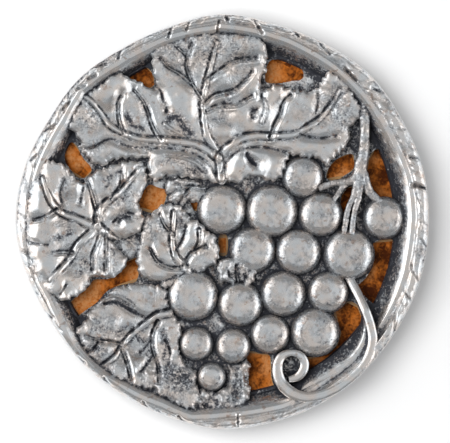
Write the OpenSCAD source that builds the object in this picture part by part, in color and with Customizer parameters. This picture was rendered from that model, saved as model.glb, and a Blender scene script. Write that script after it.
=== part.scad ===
// Drink coaster: a pierced metal casting of grapes and vine leaves in a bark rim, bonded to a
// round cork pad. The origin is in the middle of the pad's underside, +Z is up and +Y points to
// the tip of the largest leaf. Lengths are millimetres, angles are degrees.

/* [Coaster] */
// Size across the rim
coaster_d = 104; // [96:1:112]
// Height of the rim crest above the table
coaster_h = 10; // [9.5:0.5:12]

/* [Rim] */
// Width of the rim from its outside edge to the top of its inner wall
rim_w = 6; // [5:0.5:6.5]
// Width of the smooth band between the bark and the inner wall
band_w = 2.6; // [2:0.1:3]
// Run of the sloping inner wall, seen from above
wall_run = 2.4; // [1.5:0.1:2.6]
// Width of the ledge between the foot of that wall and the openings
ledge_w = 0.3; // [0.2:0.1:0.6]
// Height of the rim's foot above the table
foot_gap = 0.6; // [0.3:0.1:1]
// How deep the rim lies under the blade of the tendril
blade_drop = 2.2; // [1.5:0.1:2.5]
// How deep the rim lies under the leaf on the left
leaf_drop = 1; // [0.5:0.1:1.5]
// How far the twists of the bark stand out
twist_h = 0.4; // [0.2:0.1:0.6]
// Number of twists in the bark
twists = 24; // [16:1:32]

/* [Relief] */
// Thickness of the pierced web that carries the relief
web_t = 1.8; // [1.4:0.1:2.2]
// Height of the leaves above the web
leaf_h = 3.5; // [2.8:0.1:3.9]
// Height of the two lower leaves above the web
low_leaf_h = 2.4; // [1.8:0.1:2.8]
// How much the leaves rise towards the rim
leaf_climb = 1.2; // [0.6:0.1:1.4]
// Depth of the valleys along the main veins
vein_h = 0.9; // [0.6:0.1:1.2]
// Height of the ribs that stand in those valleys
rib_h = 1.1; // [0.8:0.1:1.3]
// Height of the side veins above the panels
side_h = 0.25; // [0.1:0.05:0.4]
// Height of the grapes above the web
grape_h = 4.1; // [3.4:0.1:4.4]
// Height of the stem above the web
stem_h = 3.3; // [2.8:0.1:3.6]
// How far the tendril stays below the rim crest
tendril_drop = 0.1; // [0:0.1:0.6]

/* [Cork pad] */
// How far the pad reaches out past the foot of the rim's inner wall
pad_lap = 2.9; // [2:0.1:3.2]
// Thickness of the pad
cork_t = 3; // [2.5:0.1:4]
// Gap between the edge of the pad and the recess that it lies in
cork_gap = 0.3; // [0.2:0.1:0.6]
// Thickness of the coat of adhesive on the back of the casting
bond_t = 0.2; // [0.1:0.05:0.3]

/* [Hidden] */

// Heights above the table
seat_z = cork_t + bond_t;
web_z = seat_z + web_t;
// Where the forms that the web carries start inside it, as shares of its thickness
root_shares = [0.35, 0.5, 0.65, 0.8];
grape_root_z = seat_z + web_t * root_shares[0];
leaf_root_z = seat_z + web_t * root_shares[1];
vine_root_z = seat_z + web_t * root_shares[2];
blade_root_z = seat_z + web_t * root_shares[3];
tendril_z = coaster_h - tendril_drop;

// The layout is set out in pixels of the photograph, a straight view down on the coaster
span_px = 416;
middle_px = [222.5, 221.5];
mm_per_px = coaster_d / span_px;
function place(p) = [p.x - middle_px.x, middle_px.y - p.y] * mm_per_px;

// Radii of the rim's inner wall, at its top edge and where it meets the cork
crest_r = coaster_d / 2 - rim_w;
wall_foot_r = crest_r - wall_run;
// Radii of the pad, of the recess that it lies in, and of the web, which is rooted under the rim
cork_r = wall_foot_r + pad_lap;
recess_r = cork_r + cork_gap;
web_root = 0.6;
web_r = recess_r + web_root;

// Radius of the hand-shaped outside edge, one value for each 15 degrees from +X
edge_px = [207, 208, 207, 208.5, 205.5, 204.5, 208, 202.5, 200.5, 203, 202, 206,
           208, 203.5, 199, 200, 200.5, 203.5, 208, 207.5, 207.5, 206.5, 206, 207];
rim_stations = 96;
// Where the rim lies lower: the middle of the sector and its half width
blade_sector = [317, 24];
leaf_sector = [182, 18];
// Outside of the rim from its top to its foot: how many twist heights it lies inside the edge,
// how much of the twist and of its lag it follows, share of the side's height
bark_shares = [[3, 0, -1, 1], [1, 1, 0, 0.75], [1, 0, 1, 0.4], [2, 0, 0, 0]];

// Each grape: the middle and the radius
grapes_px = [[222, 209.5, 24], [272, 211, 25.4], [321, 214.5, 21.6], [303, 177, 19.8],
             [384.5, 218, 21], [252.7, 250, 22.6], [298.5, 252, 22], [349.3, 254.5, 25],
             [192.5, 295.5, 25], [240.3, 304.3, 22], [283.3, 294, 21.9], [328.5, 292.5, 20.2],
             [270.3, 334.5, 19.5], [315.5, 332.7, 24], [196.3, 344, 16.8], [233.2, 346.2, 17.4],
             [211.5, 377.2, 14.5]];
grape_sides = 16;
// Profile of a grape: share of its radius, share of its height
grape_shares = [[1, 0.35], [0.93, 0.7], [0.6, 1]];

// Each leaf: where its veins meet, then its outline as [angle, reach, height], with height 0
// on a vein, 1 on the puffed panels between veins and less in the notches
top_leaf_px = [[219, 156],
    [[2, 124, 1], [11, 134, 0.8], [18, 149, 1], [31, 147, 0], [37, 112, 1], [52, 91, 1],
     [56, 79, 0.6], [62, 102, 1], [69, 122, 1], [80, 123, 1], [91, 125, 0], [101, 120, 1],
     [111, 124, 1], [123, 126, 1], [131, 97, 0.6], [136, 99, 1], [141, 130, 1], [146, 137, 1],
     [156, 150, 0], [165, 154, 1], [171, 151, 0.8], [177, 141, 1], [182, 126, 0.8],
     [187, 72, 0.6], [200, 71, 1], [208, 53, 0], [240, 28, 0.6], [277, 26, 0], [318, 39, 0.6],
     [336, 54, 1], [349, 70, 0.6], [355, 107, 1]]];
left_leaf_px = [[97, 226],
    [[13, 49, 1], [29, 47, 0.6], [44, 68, 1], [54, 78, 0], [70, 67, 1], [84, 58, 1],
     [109, 45, 0.6], [119, 71, 1], [126, 81, 0], [139, 78, 1], [159, 74, 1], [179, 71, 0.6],
     [200, 71, 1], [220, 77, 1], [234, 79, 0], [247, 81, 1], [262, 60, 1], [265, 51, 0.6],
     [283, 53, 1], [305, 49, 0.6], [325, 47, 0], [338, 44, 1], [355, 46, 1]]];
mid_leaf_px = [[178, 258],
    [[3, 40, 1], [28, 42, 0], [45, 42, 1], [58, 44, 0.6], [73, 42, 1], [83, 50, 1], [96, 54, 0],
     [111, 53, 1], [128, 51, 1], [138, 47, 0.6], [157, 41, 1], [170, 42, 0], [185, 42, 1],
     [205, 40, 1], [245, 33, 0.6], [275, 14, 0], [330, 32, 0.6], [345, 38, 1]]];
low_leaf_px = [[130, 335],
    [[6, 46, 0.6], [31, 44, 0], [53, 58, 1], [76, 52, 1], [91, 50, 0.6], [119, 46, 1],
     [133, 45, 1], [161, 46, 0.8], [179, 54, 1], [200, 47, 0.8], [228, 45, 0], [250, 45, 1],
     [285, 55, 1], [299, 72, 0], [309, 89, 1], [323, 75, 1], [333, 56, 0.6], [349, 53, 1]]];
leaflet_px = [[237, 271],
    [[20, 20, 1], [55, 17, 0], [90, 15, 1], [130, 20, 0.6], [155, 20, 1], [205, 20, 0],
     [235, 18, 1], [270, 12, 0.6], [310, 19, 1], [335, 22, 0]]];
foot_leaf_px = [[222, 396],
    [[15, 24, 1], [45, 30, 0], [58, 42, 1], [68, 34, 0.6], [95, 6, 0], [160, 22, 0.6],
     [185, 34, 1], [215, 22, 0], [270, 12, 1], [325, 20, 0]]];
under_leaf_px = [[186, 191],
    [[2, 23, 1], [25, 19, 1], [70, 12, 0.6], [122, 15, 1], [149, 21, 1], [169, 21, 0.6],
     [194, 21, 1], [221, 20, 1], [248, 16, 0.6], [283, 9, 0.6], [310, 16, 1], [339, 19, 0.6]]];
// Rings of a leaf: share of the reach, share of the height of its panels
ring_shares = [[0.28, 0.55], [0.6, 1], [0.86, 1], [0.97, 0.8]];
// Cut of every second tooth, swell of a panel between its ends and height left at the outline
tooth_share = 0.045;
puff_share = 0.25;
lip_share = 0.8;
leaf_steps = 2;
// Share of the crest's radius from which the leaves climb towards the rim
climb_share = 0.82;

// Courses of the veins, from where they spring to their tips
main_veins_px = [
    [[219, 162], [208, 138], [203, 100], [213, 62], [218, 38]],
    [[216, 156], [195, 144], [160, 140], [125, 134], [100, 112], [86, 98]],
    [[221, 155], [240, 139], [275, 136], [300, 132], [328, 110], [339, 94]],
    [[92, 225], [115, 240], [133, 251]],
    [[97, 229], [100, 210], [120, 192], [137, 172]],
    [[101, 228], [75, 218], [52, 203], [43, 183]],
    [[99, 224], [78, 245], [68, 261], [53, 277]],
    [[191, 275], [181, 263], [172, 240], [174, 216]],
    [[174, 311], [158, 316], [138, 330], [122, 346], [106, 363]]];
side_veins_px = [
    [[203, 98], [190, 78], [187, 57], [180, 50]],
    [[190, 81], [178, 72], [163, 61]],
    [[206, 103], [234, 90], [250, 74]],
    [[208, 109], [236, 104], [250, 97]],
    [[208, 80], [222, 69], [252, 59]],
    [[158, 139], [147, 110], [135, 92]],
    [[123, 131], [118, 110], [120, 98]],
    [[272, 135], [280, 115], [289, 98]],
    [[56, 208], [45, 217], [36, 220]],
    [[98, 216], [94, 203], [87, 182]],
    [[113, 197], [121, 184], [121, 174]],
    [[100, 232], [97, 243], [92, 267]],
    [[107, 237], [106, 252], [105, 266]],
    [[71, 254], [60, 252], [50, 254]],
    [[184, 264], [190, 255], [203, 247]],
    [[178, 266], [158, 262], [151, 251]],
    [[173, 233], [165, 226], [161, 217]],
    [[120, 346], [110, 342], [90, 338]],
    [[122, 350], [126, 360], [131, 377]],
    [[156, 320], [152, 344], [159, 378]],
    [[239, 280], [237, 270], [236, 261]],
    [[229, 279], [227, 270], [225, 266]],
    [[246, 279], [247, 273], [250, 267]]];
low_veins_px = [[[202, 399], [224, 401], [238, 398]], [[235, 397], [240, 386], [240, 374]]];
// Widths at the root of a main vein and of a side vein, where they spring and at the tip
main_vein_px = [[0, 7], [1, 4]];
side_vein_px = [[0, 6], [1, 4]];
// Height of a rib that is left at its tip, and the part of a side vein that climbs out of the valley
tip_share = 0.5;
side_start_share = 0.33;

// Courses of the stem and its branches, and the tendril that curls up on the right
stem_px = [[366, 96], [365, 122], [364, 150], [361, 168], [358, 188]];
branches_px = [[[362, 166], [356, 178], [346, 182], [322, 187]],
               [[350, 180], [342, 188], [334, 200]],
               [[359, 181], [354, 202], [349, 228]],
               [[361, 166], [367, 184], [380, 203]]];
tendril_px = [[349, 277], [356, 291], [364, 303], [371, 316], [375, 329], [375, 341], [370, 354],
              [362, 367], [350, 378], [335, 388], [318, 394], [304, 396], [291, 392], [282, 384],
              [278, 373], [279, 362], [284, 355], [292, 353], [300, 356], [304, 363], [303, 371],
              [297, 377], [289, 379]];
// Free edge of the tendril's blade, and the part of the course that it hangs from
blade_edge_px = [[361, 315], [357, 328], [351, 339], [342, 349], [331, 356], [322, 362],
                 [313, 369], [303, 378], [296, 388]];
blade_crest_px = [[371, 316], [374, 335], [371, 350], [363, 363], [352, 374], [338, 384],
                  [323, 391], [311, 394], [303, 394]];
// Section of the blade: share of the way from the tendril to the free edge, share of its height
blade_shares = [[0, 0.9], [0.25, 0.66], [0.45, 0.58], [0.8, 0.25], [1, 0.1]];
// Widths in pixels at shares of the course
stem_w_px = [[0, 12], [0.5, 10], [0.8, 14], [1, 11]];
branch_w_px = [[0, 9], [0.5, 8], [1, 7]];
tendril_w_px = [[0, 5], [0.1, 12], [0.2, 13], [0.5, 11], [0.65, 12], [0.8, 8], [0.92, 10], [1, 7]];
// Height of the tendril along its course, as shares of its full height above the web
tendril_shares = [[0, 0.7], [0.1, 0.94], [0.2, 1], [0.55, 1], [0.75, 0.88], [1, 0.75]];
// Sections of a stem and of the veins: share of the half width, share of the height
stem_shares = [[-1, 0], [-0.85, 0.75], [0, 1], [0.85, 0.75], [1, 0]];
main_shares = [[-1, 0], [-0.45, 1], [0.45, 1], [1, 0]];
side_shares = [[-1, 0], [0, 1], [1, 0]];

// Openings that show the cork
openings_px = [
    [[128, 78], [133, 69], [144, 65], [152, 73], [154, 84], [147, 89], [137, 85]],
    [[265, 82], [266, 68], [271, 57], [287, 56], [305, 69], [304, 82], [290, 85], [275, 88]],
    [[63, 160], [65, 147], [71, 141], [82, 156], [92, 169], [83, 178], [70, 170]],
    [[138, 196], [148, 184], [166, 184], [165, 200], [158, 212], [140, 207]],
    [[190, 201], [196, 200], [199, 207], [194, 210]],
    [[219, 238], [226, 238], [226, 253], [219, 253]],
    [[327, 178], [329, 168], [337, 159], [352, 153], [356, 166], [347, 175]],
    [[341, 206], [342, 196], [348, 188], [356, 187], [355, 200], [345, 213]],
    [[368, 190], [367, 176], [370, 160], [376, 149], [385, 150], [396, 172], [399, 198], [380, 198]],
    [[374, 243], [396, 241], [400, 257], [394, 275], [383, 300], [374, 305], [364, 296],
     [359, 286], [373, 266]],
    [[336, 312], [348, 303], [358, 308], [363, 320], [359, 331], [352, 341], [343, 351],
     [332, 358], [322, 365], [314, 371], [306, 371], [309, 360], [325, 356], [338, 346], [342, 334]],
    [[247, 353], [270, 356], [271, 378], [276, 396], [268, 402], [252, 402], [249, 383]],
    [[127, 262], [137, 258], [138, 278], [118, 285], [97, 302], [86, 311], [76, 316], [66, 310],
     [72, 301], [92, 280], [110, 279], [120, 272]]];

// Smooth curve between b and c, with t from 0 to 1
function curve(a, b, c, d, t) =
    (2 * b + (c - a) * t + (2 * a - 5 * b + 4 * c - d) * t * t + (3 * b - a - 3 * c + d) * t * t * t) / 2;
// Smooth course through points, with n steps between each two
function course(points, n) = [
    for (i = [0:len(points) - 2], k = [0:n - 1])
        curve(points[max(i - 1, 0)], points[i], points[i + 1], points[min(i + 2, len(points) - 1)], k / n),
    points[len(points) - 1]];
function edge_r(angle) =
    let (n = len(edge_px), step = 360 / n, i = floor(angle / step))
    curve(edge_px[(i + n - 1) % n], edge_px[i % n], edge_px[(i + 1) % n], edge_px[(i + 2) % n],
          angle / step - i) * mm_per_px;
// Faces between rings of n points each; the rings run anticlockwise seen along their order
function band_faces(rings, n, closed) = [
    for (i = [0:(closed ? rings - 1 : rings - 2)], j = [0:n - 1])
        let (a = i * n, b = (i + 1) % rings * n, k = (j + 1) % n)
        each [[a + j, b + j, b + k], [a + j, b + k, a + k]]];

// How much an angle belongs to a sector, from 1 in its middle to 0 outside it
function within(angle, sector) = exp(-pow((angle - sector[0]) / sector[1], 4));

// Section of the rim at an angle: bark outside, smooth band, then the sloping inner wall
function rim_section(angle) =
    let (r = edge_r(angle),
         twist = cos(twists * angle),
         lag = sin(twists * angle),
         outside_h = coaster_h - twist_h - foot_gap,
         drop = blade_drop * within(angle, blade_sector) + leaf_drop * within(angle, leaf_sector),
         crest_z = coaster_h - drop)
    [[wall_foot_r + ledge_w, vine_root_z],
     [crest_r, crest_z - twist_h],
     [crest_r + band_w / 2, crest_z],
     [crest_r + band_w, crest_z - 2 * twist_h],
     for (s = bark_shares)
         [r + twist_h * (s[1] * twist + s[2] * lag - s[0]), foot_gap + outside_h * s[3]],
     [recess_r, foot_gap],
     [recess_r, vine_root_z]];

module rim() {
    n = len(rim_section(0));
    points = [for (i = [0:rim_stations - 1])
        let (angle = 360 * i / rim_stations)
        for (p = rim_section(angle)) [p[0] * cos(angle), p[0] * sin(angle), p[1]]];
    polyhedron(points, band_faces(rim_stations, n, true));
}

// Plan of the web out to a radius: the openings end at the foot of the rim's wall
module web_plan(outer_r) {
    difference() {
        circle(r = outer_r, $fn = rim_stations);
        intersection() {
            circle(r = wall_foot_r, $fn = rim_stations);
            for (opening = openings_px) polygon([for (p = opening) place(p)]);
        }
    }
}

module web() {
    translate([0, 0, seat_z]) linear_extrude(web_t) web_plan(web_r);
}

module grape(p) {
    r = p[2] * mm_per_px;
    translate(place(p))
        translate([0, 0, grape_root_z])
            hull()
                for (s = grape_shares)
                    cylinder(r = r * s[0], h = web_z - grape_root_z + grape_h * s[1], $fn = grape_sides);
}

// How much higher a leaf or a vein lies at a place, because the leaves climb towards the rim
function climb(p) =
    let (start_r = crest_r * climb_share, t = (norm(p) - start_r) / (crest_r - start_r))
    leaf_climb * pow(max(0, min(1, t)), 2);

// Leaf: rings of points from the meeting of the veins out to a toothed outline
module leaf(spec, h) {
    middle = place(spec[0]);
    outline = spec[1];
    spokes = [for (i = [0:len(outline) - 1], k = [0:leaf_steps - 1])
        let (a = outline[i],
             next = outline[(i + 1) % len(outline)],
             b = next[0] < a[0] ? next + [360, 0, 0] : next,
             t = k / leaf_steps,
             tooth = k == 1 ? 1 - tooth_share : 1,
             swell = k == 0 ? 0 : puff_share * (2 - a[2] - b[2]))
        [a[0] + (b[0] - a[0]) * t,
         (a[1] + (b[1] - a[1]) * t) * tooth * mm_per_px,
         min(1, a[2] + (b[2] - a[2]) * t + swell)]];
    n = len(spokes);
    low = web_z + h - vein_h;
    function ring(share, z_of) = [for (s = spokes)
        let (p = middle + [cos(s[0]), sin(s[0])] * s[1] * share)
        [p.x, p.y, z_of(s[2], climb(p))]];
    points = concat(
        [for (r = ring_shares) each ring(r[0], function(swell, rise) low + vein_h * swell * r[1] + rise)],
        ring(1, function(swell, rise) web_z + (low - web_z) * lip_share + rise),
        ring(1, function(swell, rise) leaf_root_z),
        [[middle.x, middle.y, low], [middle.x, middle.y, leaf_root_z]]);
    rings = len(ring_shares) + 2;
    faces = concat(
        [for (f = band_faces(rings, n, false)) [f[0], f[2], f[1]]],
        [for (j = [0:n - 1]) [rings * n, (j + 1) % n, j]],
        [for (j = [0:n - 1]) [rings * n + 1, (rings - 1) * n + j, (rings - 1) * n + (j + 1) % n]]);
    polyhedron(points, faces);
}

// Solid through sections of n points each, closed by the first and the last
module loft(points, n) {
    last = len(points) / n - 1;
    faces = concat(
        band_faces(last + 1, n, false),
        [[for (j = [0:n - 1]) j], [for (j = [n - 1:-1:0]) last * n + j]]);
    polyhedron(points, faces);
}

// Raised rib along a course, with its width and its top given along the way
module vine(points_px, widths_px, shares, root_z, top_of, steps = 2) {
    path = [for (p = course(points_px, steps)) place(p)];
    last = len(path) - 1;
    points = [for (i = [0:last])
        let (along = path[min(i + 1, last)] - path[max(i - 1, 0)],
             side = [along.y, -along.x] / norm(along),
             half = lookup(i / last, widths_px) * mm_per_px / 2,
             top = top_of(path[i], i / last))
        for (s = shares)
            [path[i].x + side.x * half * s[0], path[i].y + side.y * half * s[0],
             root_z + (top - root_z) * s[1]]];
    loft(points, len(shares));
}

// Veins on a leaf of a height: the ribs in the valleys, and the side veins on the panels
module main_vein(points_px, h) {
    low = web_z + h - vein_h;
    vine(points_px, main_vein_px, main_shares, low - rib_h,
         function(p, t) low + rib_h * (1 - t * tip_share) + climb(p), 1);
}

module side_vein(points_px, h) {
    low = web_z + h - vein_h;
    rise = vein_h + side_h - rib_h;
    vine(points_px, side_vein_px, side_shares, low - rib_h,
         function(p, t) low + rib_h + rise * min(1, t / side_start_share) + climb(p), 1);
}

// Hollow blade between the tendril and its own free edge
module blade() {
    outer = [for (p = blade_crest_px) place(p)];
    inner = [for (p = blade_edge_px) place(p)];
    h = tendril_z - web_z;
    points = [for (i = [0:len(outer) - 1])
        each concat(
            [[outer[i].x, outer[i].y, blade_root_z]],
            [for (s = blade_shares)
                let (p = outer[i] + (inner[i] - outer[i]) * s[0])
                [p.x, p.y, web_z + h * s[1]]],
            [[inner[i].x, inner[i].y, blade_root_z]])];
    loft(points, len(blade_shares) + 2);
}

module casting() {
    color("silver")
        union() {
            rim();
            web();
            for (p = grapes_px) grape(p);
            for (spec = [top_leaf_px, left_leaf_px, mid_leaf_px, low_leaf_px, leaflet_px])
                leaf(spec, leaf_h);
            for (spec = [foot_leaf_px, under_leaf_px]) leaf(spec, low_leaf_h);
            for (v = main_veins_px) main_vein(v, leaf_h);
            for (v = side_veins_px) side_vein(v, leaf_h);
            for (v = low_veins_px) side_vein(v, low_leaf_h);
            vine(stem_px, stem_w_px, stem_shares, vine_root_z, function(p, t) web_z + stem_h);
            for (b = branches_px)
                vine(b, branch_w_px, stem_shares, vine_root_z, function(p, t) web_z + stem_h);
            vine(tendril_px, tendril_w_px, stem_shares, vine_root_z,
                 function(p, t) web_z + (tendril_z - web_z) * lookup(t, tendril_shares));
            blade();
        }
}

module adhesive_film() {
    color("khaki")
        translate([0, 0, cork_t]) linear_extrude(bond_t) web_plan(cork_r);
}

module cork_pad() {
    color("peru") cylinder(r = cork_r, h = cork_t, $fn = rim_stations);
}

casting();
adhesive_film();
cork_pad();
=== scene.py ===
# %% [markdown]
# # A cast drink coaster: grapes and vine leaves in a bark rim
# The real coaster is one casting in a pale alloy, bonded to a round cork pad. The foundry blackens
# the whole casting and then polishes it, so the high places shine and the hollows stay dark.
# The pattern has to leave the sand, so the relief has no undercuts: over each place in plan there
# is one height. This script uses that. Each form is a height worked out over the plan, and
# one height map of the whole relief tells the finish how deep every point lies.

# %% Frame and sizes
import math

import bpy
import numpy as np
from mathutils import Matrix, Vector
from mathutils.geometry import delaunay_2d_cdt
from mathutils.kdtree import KDTree


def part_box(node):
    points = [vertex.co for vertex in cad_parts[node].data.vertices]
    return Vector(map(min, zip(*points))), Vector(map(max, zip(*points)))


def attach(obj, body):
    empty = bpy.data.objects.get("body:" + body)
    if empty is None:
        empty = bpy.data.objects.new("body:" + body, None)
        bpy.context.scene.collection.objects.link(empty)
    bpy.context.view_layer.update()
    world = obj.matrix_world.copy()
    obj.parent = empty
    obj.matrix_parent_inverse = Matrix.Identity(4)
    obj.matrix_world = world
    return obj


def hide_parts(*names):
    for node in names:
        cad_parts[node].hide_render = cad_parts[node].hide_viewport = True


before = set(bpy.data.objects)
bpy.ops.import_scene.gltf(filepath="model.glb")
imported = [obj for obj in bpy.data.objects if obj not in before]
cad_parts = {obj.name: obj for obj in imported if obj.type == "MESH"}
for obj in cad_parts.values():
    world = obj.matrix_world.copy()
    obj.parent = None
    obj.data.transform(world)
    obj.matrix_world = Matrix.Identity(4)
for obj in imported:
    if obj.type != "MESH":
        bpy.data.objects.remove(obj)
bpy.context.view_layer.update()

MM = 0.001
# Thickness of the web in the CAD, in millimetres
WEB_T = 1.8
crest_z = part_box("casting")[1][2] / MM
foot_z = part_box("casting")[0][2] / MM
seat_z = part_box("adhesive_film")[1][2] / MM
pad_top_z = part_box("cork_pad")[1][2] / MM
pad_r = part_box("cork_pad")[1][0] / MM
web_z = seat_z + WEB_T
root_z = seat_z + WEB_T / 2
print(f"crest {crest_z:.2f} mm, seat {seat_z:.2f} mm, web top {web_z:.2f} mm, pad radius {pad_r:.2f} mm")

# %% [markdown]
# ## Plan and helpers
# The photograph looks straight down, so a place in it is a place in plan. Every table whose name
# ends in _px holds pixels of that view, a line as one row of x,y pairs, and `place` turns them
# into millimetres about the middle. Smooth courses go through a few chosen points, and the
# distances to them shape veins and ribs.

# %% Plan
MM_PER_PX = 104 / 416
MIDDLE_PX = (222.5, 221.5)


def place(points_px):
    """Millimetres in plan of places in the view, given as pairs or as one row of numbers."""
    return (np.reshape(points_px, (-1, 2)) - MIDDLE_PX) * (MM_PER_PX, -MM_PER_PX)


def smooth(points, steps=6, closed=False):
    """Points of a smooth course through the given ones."""
    p = np.asarray(points, float)
    ring = np.vstack([p[-1:], p, p[:2]] if closed else [p[:1], p, p[-1:]])
    t = np.linspace(0, 1, steps, endpoint=False)[:, None]
    parts = [
        (2 * b + (c - a) * t + (2 * a - 5 * b + 4 * c - d) * t**2 + (3 * b - a - 3 * c + d) * t**3) / 2
        for a, b, c, d in zip(ring, ring[1:], ring[2:], ring[3:])
    ]
    return np.vstack(parts if closed else parts + [p[-1:]])


def even(points, step, closed=False):
    """The same course with points a step apart."""
    p = np.vstack([points, points[:1]]) if closed else np.asarray(points)
    along = np.r_[0, np.cumsum(np.linalg.norm(np.diff(p[:, :2], axis=0), axis=1))]
    count = max(int(along[-1] / step), 3)
    want = np.linspace(0, along[-1], count, endpoint=not closed)
    return np.stack([np.interp(want, along, column) for column in p.T], axis=1)


def ripple(xy, size, seed):
    """Smooth noise from -1 to 1 over the plan, in lumps of the given size."""
    cells = 64
    lattice = np.random.default_rng(seed).uniform(-1, 1, (cells, cells))
    u = np.asarray(xy) / size
    cell = np.floor(u).astype(int)
    f = u - cell
    f = f * f * (3 - 2 * f)
    (i, j), (i1, j1) = (cell % cells).T, ((cell + 1) % cells).T
    low = lattice[i, j] + (lattice[i1, j] - lattice[i, j]) * f[:, 0]
    high = lattice[i, j1] + (lattice[i1, j1] - lattice[i, j1]) * f[:, 0]
    return low + (high - low) * f[:, 1]


def near(xy, line):
    """Distance of each point to a line of points, the share of the line passed there, and how
    far to the upper left of the line the point lies, from -1 to 1."""
    a, ab = line[:-1], np.diff(line, axis=0)
    t = ((xy[:, None] - a) * ab).sum(2) / (ab**2).sum(1)
    t = t.clip(0, 1)
    offset = xy[:, None] - a - t[..., None] * ab
    gaps = np.linalg.norm(offset, axis=2)
    k = gaps.argmin(1)
    rows = np.arange(len(xy))
    gap = gaps[rows, k]
    upper = offset[rows, k] @ (-0.75, 0.66) / (gap + 1e-3)
    return gap, (k + t[rows, k]) / len(a), upper


def edge_gap(xy, outline):
    """Distance of each point to an outline of close points."""
    tree = KDTree(len(outline))
    for i, p in enumerate(outline):
        tree.insert((p[0], p[1], 0), i)
    tree.balance()
    return np.array([tree.find((x, y, 0))[2] for x, y in xy])


def bell(gap, width):
    """1 on a line and falling to 0 within about two widths of it."""
    return np.exp(-((gap / width) ** 2))


def dab(xy, x_px, y_px, r_px):
    """1 at a place in the view and falling to 0 within about two radii of it."""
    return bell(np.linalg.norm(xy - place((x_px, y_px)), axis=1), r_px * MM_PER_PX)


def stroke(xy, line_px, width):
    """1 on a smooth line in the view and falling to 0 within about two widths of it."""
    return bell(near(xy, smooth(place(line_px)))[0], width)


# %% [markdown]
# ## The height map
# A square grid over the plan holds the highest form at each place. It starts as the cork pad and
# the table, and each form is laid on top. Blurring the finished map gives the average height round
# a place. A point well under that average is in a hollow, where the black finish survives.

# %% Height map
CELL = 0.2
REACH = 53.0
ticks = np.arange(-REACH, REACH + CELL / 2, CELL)
spots = np.stack(np.meshgrid(ticks, ticks), axis=2)
from_middle = np.linalg.norm(spots, axis=2)
relief = np.where(from_middle < pad_r, pad_top_z, 0.0)


def cover(outline):
    """Grid places inside an outline, filled row by row between the crossings."""
    inside = np.zeros(relief.shape, bool)
    a, b = outline, np.roll(outline, -1, 0)
    for row, y in enumerate(ticks):
        cut = (a[:, 1] <= y) != (b[:, 1] <= y)
        x = a[cut, 0] + (y - a[cut, 1]) / (b[cut, 1] - a[cut, 1]) * (b[cut, 0] - a[cut, 0])
        x.sort()
        for left, right in zip(x[::2], x[1::2]):
            inside[row, (ticks > left) & (ticks < right)] = True
    return inside


def lay(inside, heights):
    """Lays a form's heights on the grid places that it covers."""
    relief[inside] = np.maximum(relief[inside], heights)


def blur(field, width):
    """The map averaged over a width in millimetres."""
    wave = np.fft.fftfreq(len(field)) * 2 * math.pi * width / CELL
    keep = np.exp(-(wave[:, None] ** 2 + wave[None, :] ** 2) / 2)
    return np.fft.ifft2(np.fft.fft2(field) * keep).real


def sample(field, xy):
    """Value of a map at any places in plan."""
    u = (np.asarray(xy) + REACH) / CELL
    i = np.clip(u.astype(int), 0, len(ticks) - 2)
    f = u - i
    x, y = i[:, 0], i[:, 1]
    low = field[y, x] * (1 - f[:, 0]) + field[y, x + 1] * f[:, 0]
    high = field[y + 1, x] * (1 - f[:, 0]) + field[y + 1, x + 1] * f[:, 0]
    return low * (1 - f[:, 1]) + high * f[:, 1]


print(f"height map of {len(ticks)} x {len(ticks)} places, {CELL} mm apart")
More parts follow.
